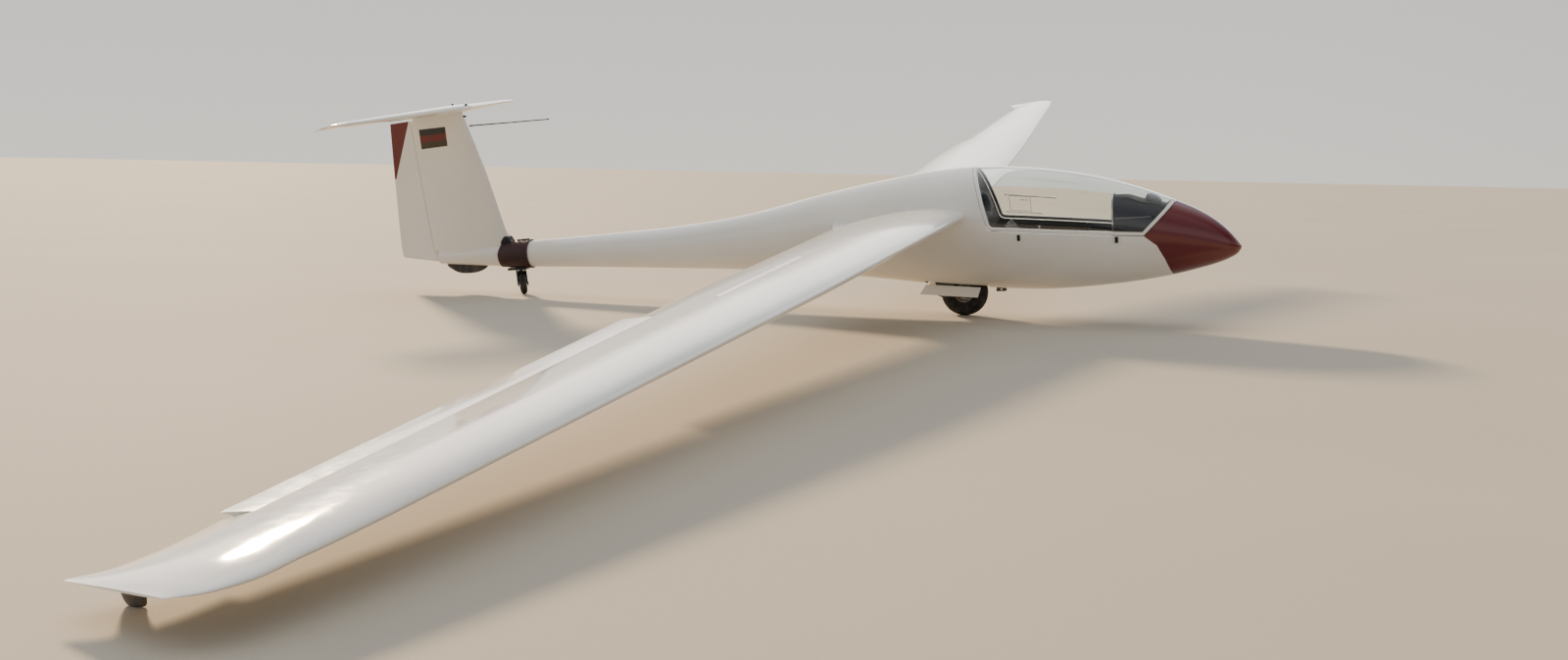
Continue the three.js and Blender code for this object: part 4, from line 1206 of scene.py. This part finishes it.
# The clamp's hinge: five knuckles in a row, two leaves held by screws
clampHinge = {
    "rear": (-3455, 561.6), "length": 107, "rise": 3.2,
    "knuckles": 5, "knuckleLength": 21, "knuckleRise": 0.6, "radii": (5, 4.3),
    "leaf": (104, 15, 2.4), "leafOut": 10, "leafMiddle": (-3401.5, 0, 557.4), "leafSlope": 0.09,
    "screws": (-36, -12, 12, 36), "screwOut": 12,
}
knuckles = bmesh.new()
for k in range(clampHinge["knuckles"]):
    x = clampHinge["rear"][0] + clampHinge["length"] * k / clampHinge["knuckles"]
    z = clampHinge["rear"][1] + clampHinge["rise"] * k / clampHinge["knuckles"]
    end = (x + clampHinge["knuckleLength"], 0, z + clampHinge["knuckleRise"])
    knuckles = added(knuckles, bar((x, 0, z), end, clampHinge["radii"][k % 2]))
leafTilt = Matrix.Rotation(-math.atan2(clampHinge["rise"], clampHinge["length"]), 4, "Y")
for side in (-1, 1):
    leaf = block(clampHinge["leaf"], (0, side * clampHinge["leafOut"], 0))
    for x in clampHinge["screws"]:
        out = side * clampHinge["screwOut"]
        leaf = added(leaf, bar((x, out, 1), (x, out, 2.6), 2.6, 1.8, 16, 1))
    leaf.transform(
        Matrix.Translation(clampHinge["leafMiddle"]) @ leafTilt
        @ Matrix.Rotation(-side * clampHinge["leafSlope"], 4, "X")
    )
    knuckles = added(knuckles, leaf)
makePiece(
    "dollyHingeBar", knuckles, [blackPlastic, brightSteel], "airframe", ["dolly_clamp_hinge"],
    bevel=0.5,
)
roundedNodes([("dolly_saddle", "dollySaddleBlock", blackSteel, "steel_black", 2.5)])
roundedNodes([("dolly_fork", "dollyForkPlate", blackSteel, "steel_black", 1.2)], "dolly_caster")
wheelPlace = (
    Matrix.Translation((dolly["swivelX"], 0, dolly["wheelHeight"]))
    @ Matrix.Rotation(math.radians(dolly["swivelTurn"]), 4, "Z")
    @ Matrix.Translation((dolly["trail"], 0, 0))
)
dollyAxle = axleWithNuts(**dolly["axle"])
dollyTyre = turned(tyreProfile(**dolly["tyre"]), 72)
dollyHub = turned(dolly["hub"], 64)
for bm in (dollyAxle, dollyTyre, dollyHub):
    bm.transform(wheelPlace)
makePiece(
    "dollyAxleBolt", dollyAxle, [brightSteel], "dolly_caster", ["dolly_axle"], bevel=0.6,
)
makePiece("dollyTyreCover", dollyTyre, [tyreRubber], "dolly_wheel", ["dolly_tyre"], sharp=40)
makePiece("dollyHubDisc", dollyHub, [castAlloy], "dolly_wheel", ["dolly_hub"], bevel=0.8)
print("dolly made")

# Instrument pod, its panel and dials
pod = {
    "side": [
        (1062, 432), (1150, 425), (1162, 380), (1160, 300), (1236, 300), (1242, 376), (1330, 420),
        (1395, 470), (1405, 540), (1330, 562), (1240, 578), (1160, 612), (1066, 618),
    ],
    "width": 230,
    # Half width, bottom, top and corner radius, seen from the front
    "arch": (115, 200, 619, 66),
    "archFrom": 900,
    "archLength": 900,
    "wall": 34,
    "lip": {"size": (236, 234, 3), "centre": (1184, 0, 476), "wall": 30},
    "panelSide": [(1046, 392), (1056, 392), (1064, 640), (1054, 640)],
    "panelArch": (123, 200, 632, 72),
    # Y, Z and radius of each
    "dials": [(-50, 566, 40), (50, 566, 40), (-74, 474, 28), (0, 474, 31), (74, 474, 28)],
    "dialMarks": 12,
}


# A slab along X with two rounded upper corners
def archPrism(halfWidth, bottom, top, corner, steps=8):
    points = [(-halfWidth, bottom)]
    for side, firstAngle in ((-1, 180), (1, 90)):
        for step in range(steps + 1):
            angle = math.radians(firstAngle - 90 * step / steps)
            y = side * (halfWidth - corner) + corner * math.cos(angle)
            points.append((y, top - corner + corner * math.sin(angle)))
    points.append((halfWidth, bottom))
    return tidied(grownOutline([(pod["archFrom"], y, z) for y, z in points], (pod["archLength"], 0, 0)))


# A dial facing along minus Y: bezel, face, marks, needle and boss
def dialSet(radius, degrees):
    inner = radius - 5
    bezel = turned(
        [(radius, -1), (radius, 2), (radius - 1.5, 3.4), (radius - 4, 3.4), (inner, 1.6), (inner, -1)], 48, 1,
    )
    bezel.transform(Matrix.Rotation(math.pi, 4, "X"))
    dial = bar((0, 1.5, 0), (0, -0.8, 0), radius - 4.9, sides=40, material=2)
    for k in range(pod["dialMarks"]):
        mark = block((1.4, 0.5, 5), (0, -0.95, radius - 9), 3)
        mark.transform(Matrix.Rotation(2 * math.pi * k / pod["dialMarks"], 4, "Y"))
        dial = added(dial, mark)
    needle = block((1.8, 0.6, radius - 12), (0, -1.4, (radius - 12) / 2 - 3), 3)
    needle.transform(Matrix.Rotation(math.radians(degrees), 4, "Y"))
    return added(bezel, dial, needle, bar((0, -0.8, 0), (0, -1.9, 0), 3, sides=16, material=3))


podBody = combined(
    prism(pod["side"], pod["width"]), fuselageLoft(pod["wall"], 1700, 200), archPrism(*pod["arch"]),
    how="INTERSECT",
)
makePiece(
    "instrumentPodCover", podBody, [crackleBlack], "airframe", ["instrument_pod"], bevel=3,
)
lip = pod["lip"]
podLip = combined(block(lip["size"], lip["centre"]), fuselageLoft(lip["wall"], 1700, 200), how="INTERSECT")
makePiece("podCoverLip", podLip, [silverTrim], "airframe", bevel=0.6)
panelBody = combined(prism(pod["panelSide"], throughAll), archPrism(*pod["panelArch"]), how="INTERSECT")
for face in panelBody.faces:
    face.material_index = 4 if abs(face.normal.x) < 0.5 else 0
(footX, footZ), (topX, topZ) = pod["panelSide"][0], pod["panelSide"][3]
panelTurn = (
    Matrix.Rotation(math.atan2(topX - footX, topZ - footZ), 4, "Y")
    @ Matrix.Rotation(math.radians(-90), 4, "Z")
)
for y, z, radius in pod["dials"]:
    faceX = footX + (topX - footX) * (z - footZ) / (topZ - footZ)
    dial = dialSet(radius, 37 * (y + z) % 360)
    dial.transform(Matrix.Translation((faceX, y, z)) @ panelTurn)
    panelBody = added(panelBody, dial)
panelFinishes = [crackleBlack, frameBlack, blackPlastic, dialWhite, silverTrim]
makePiece(
    "instrumentPanelFace", panelBody, panelFinishes, "airframe", ["instrument_panel"],
    bevel=0.6,
)
roundedNodes([("compass", "compassHousing", blackPlastic, "black_plastic", 5)])

# Control stick with its grip, pedals, rails and seat
stick = bars([
    ((905, 0, 140), (882, 0, 342), 10, 9, 24, 1),
    ((883, 0, 338), (879, 0, 380), 12, 14.5, 24),
    ((879, 0, 380), (875, 0, 430), 14.5, 14, 24),
    ((875, 0, 430), (874, 0, 440), 14, 8, 24),
])
makePiece(
    "controlStickGrip", stick, [blackPlastic, greySteel], "airframe", ["control_stick"],
)
roundedNodes([
    ("left_rudder_pedal", "leftPedalPlate", greySteel, "steel_grey", 2),
    ("left_cockpit_rail", "leftSillRail", frameBlack, "black_plastic", 2),
    ("right_rudder_pedal", "rightPedalPlate", greySteel, "steel_grey", 2),
    ("right_cockpit_rail", "rightSillRail", frameBlack, "black_plastic", 2),
    ("cockpit_bulkhead", "cockpitBulkheadPanel", cockpitPaint, "black_plastic", 1),
    ("seat_pan", "seatPanShell", seatLaminate, "seat_laminate", 2),
])

# Padded cushions: woven covers over foam, crowned, sewn across in channels. The
# voxel is in metres, the pull-in is of the sides and of the ends.
cushions = {
    "voxel": 0.006, "pressure": 4, "frames": 20, "cuts": 31, "pullIn": (0.018, 0.014), "crownPower": 3.5,
    "channelWidth": 0.035, "channelDepth": 0.55,
    "backrest": {
        "start": (580, 100), "end": (329, 483), "size": (380, 9), "swell": 5, "crown": 4,
        "channels": (-0.5, 0, 0.5),
    },
    "headrest": {
        "start": (225, 574), "end": (193, 694), "size": (150, 26), "swell": 7, "crown": 8, "channels": (),
    },
}


# Swells a thin closed pad with a cloth simulation under pressure. No point moves
# further than the cap, and the side that lies on the seat stays flat.
def swollen(bm, cap):
    pad = workObject(bm)
    remesh = pad.modifiers.new("remesh", "REMESH")
    remesh.mode = "VOXEL"
    remesh.voxel_size = cushions["voxel"]
    bpy.context.view_layer.update()
    before = bpy.data.meshes.new_from_object(pad.evaluated_get(bpy.context.evaluated_depsgraph_get()))
    pad.modifiers.clear()
    pad.data = before
    cloth = pad.modifiers.new("swell", "CLOTH")
    cloth.settings.use_pressure = True
    cloth.settings.uniform_pressure_force = cushions["pressure"]
    cloth.settings.effector_weights.gravity = 0
    cloth.point_cache.frame_start = 1
    cloth.point_cache.frame_end = cushions["frames"]
    for step in range(1, cushions["frames"] + 1):
        bpy.context.scene.frame_set(step)
    after = bpy.data.meshes.new_from_object(pad.evaluated_get(bpy.context.evaluated_depsgraph_get()))
    made = bmesh.new()
    made.from_mesh(after)
    for vert, old in zip(made.verts, before.vertices):
        move = vert.co - old.co
        if move.length > cap:
            move *= cap / move.length
        if old.co.z < 0:
            move.z = 0
        vert.co = old.co + move
    bpy.context.scene.frame_set(1)
    bpy.data.objects.remove(pad)
    for mesh in (before, after):
        bpy.data.meshes.remove(mesh)
    bmesh.ops.smooth_vert(
        made, verts=made.verts, factor=0.5, use_axis_x=True, use_axis_y=True, use_axis_z=True,
    )
    return made


def cushion(name, node):
    pad = cushions[node]
    start, end = [Vector((x, 0, z)) for x, z in (pad["start"], pad["end"])]
    width, thick = pad["size"]
    along = end - start
    length = along.length
    along.normalize()
    out = upY.cross(along).normalized()
    if out.x < 0:
        out.negate()
    bm = bmesh.new()
    bmesh.ops.create_cube(bm, size=1, matrix=Matrix.Diagonal((length, width, thick, 1)))
    bmesh.ops.subdivide_edges(bm, edges=bm.edges, cuts=cushions["cuts"], use_grid_fill=True)
    sidePull, endPull = cushions["pullIn"]
    power = cushions["crownPower"]
    for vert in bm.verts:
        u, v = vert.co.x / length * 2, vert.co.y / width * 2
        vert.co.y *= 1 - sidePull * (1 - u * u)
        vert.co.x *= 1 - endPull * (1 - v * v)
        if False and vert.co.z > 0:
            vert.co.z += pad["crown"] * (1 - abs(u) ** power) * (1 - abs(v) ** power)
    bmesh.ops.scale(bm, verts=bm.verts, vec=(0.001, 0.001, 0.001))  # the cloth is in metres
    bm = swollen(bm, pad["swell"] / 1000)
    bmesh.ops.scale(bm, verts=bm.verts, vec=(1000, 1000, 1000))
    for vert in bm.verts:
        if vert.co.z > 0:
            u = vert.co.x / length * 2
            sunk = sum(math.exp(-((u - c) / cushions["channelWidth"]) ** 2) for c in pad["channels"])
            vert.co.z -= cushions["channelDepth"] * pad["crown"] * min(sunk, 1)
    bm.transform(Matrix.Translation((start + end) / 2) @ Matrix((along, upY, out)).transposed().to_4x4())
    bmesh.ops.recalc_face_normals(bm, faces=bm.faces)
    piece = makePiece(name, bm, [seatCloth], "airframe", [node], sharp=80)
    finer = piece.modifiers.new("finer", "SUBSURF")
    finer.levels = finer.render_levels = 1


cushion("backrestCushion", "backrest")
cushion("headrestCushion", "headrest")
print("cockpit made")

# Pale floor, a backdrop with a bright band above it, a low sun lamp and a broad fill
studio = {
    "floor": "#AFA696", "floorPatch": "#ABA292", "floorSize": 220,
    "sky": {
        0.5: "#A5A29C", 0.562: "#9C9B98", 0.6: "#FFFBF4", 0.67: "#F2F2F0", 0.78: "#7E8A9A", 1.0: "#434E5F",
    },
    # The sky fades from full strength on the bright side to a share of it on the far side
    "strength": 2.6, "darkShare": 0.22, "brightWay": (-0.66, 0.75, 0), "fade": (-0.6, 0.8),
}
floorMesh = bmesh.new()
bmesh.ops.create_grid(floorMesh, x_segments=1, y_segments=1, size=studio["floorSize"])
floorData = bpy.data.meshes.new("studioFloor")
floorMesh.to_mesh(floorData)
floorMesh.free()
floorMaterial, floorTree, floorShader, floorWhere = startMaterial("matteStudioPaper", IOR=1.4, Roughness=0.9)
floorSpots = patches(floorTree, floorWhere, 3000, 2.0)
floorTone = blendColours(floorTree, floorSpots, studio["floor"], studio["floorPatch"])
finishSurface(floorTree, floorShader, floorTone)
floorData.materials.append(floorMaterial)
floor = bpy.data.objects.new("studioFloor", floorData)
bpy.context.scene.collection.objects.link(floor)
world = bpy.data.worlds.new("studioSky")
world.use_nodes = True
skyTree = world.node_tree
lookUp = addNode(skyTree, "TexCoord").outputs["Generated"]
height = addNode(skyTree, "SeparateXYZ", {"Vector": lookUp}).outputs["Z"]
rise = addNode(skyTree, "MapRange", {"Value": height, "From Min": -1.0, "From Max": 1.0}).outputs["Result"]
ramp = addNode(skyTree, "ValToRGB", {"Fac": rise})
stops = ramp.color_ramp.elements
for place, code in studio["sky"].items():
    stop = stops.new(place)
    stop.color = colour(code)
stops.remove(stops[0])
skyTree.links.new(ramp.outputs["Color"], skyTree.nodes["Background"].inputs["Color"])
towards = addNode(skyTree, "VectorMath", {0: lookUp, 1: studio["brightWay"]}, operation="DOT_PRODUCT")
glow = addNode(skyTree, "MapRange", {
    "Value": towards.outputs["Value"], "From Min": studio["fade"][0], "From Max": studio["fade"][1],
    "To Min": studio["strength"] * studio["darkShare"], "To Max": studio["strength"],
}, interpolation_type="SMOOTHSTEP")
skyTree.links.new(glow.outputs["Result"], skyTree.nodes["Background"].inputs["Strength"])
bpy.context.scene.world = world
lamps = {
    "lowKeyBehindLeft": {"from": (-0.62, 0.70, 0.36), "angle": 6, "power": 7.5, "tint": "#FFDDB2"},
    "wideFillFromRight": {"from": (0.55, -0.75, 0.5), "angle": 70, "power": 0.3, "tint": "#F2F4FF"},
}
for name, lamp in lamps.items():
    light = bpy.data.lights.new(name, "SUN")
    light.angle = math.radians(lamp["angle"])
    light.energy = lamp["power"]
    light.color = colour(lamp["tint"])[:3]
    holder = bpy.data.objects.new(name, light)
    holder.rotation_euler = (-Vector(lamp["from"])).to_track_quat("-Z", "Y").to_euler()
    bpy.context.scene.collection.objects.link(holder)
print("studio made")
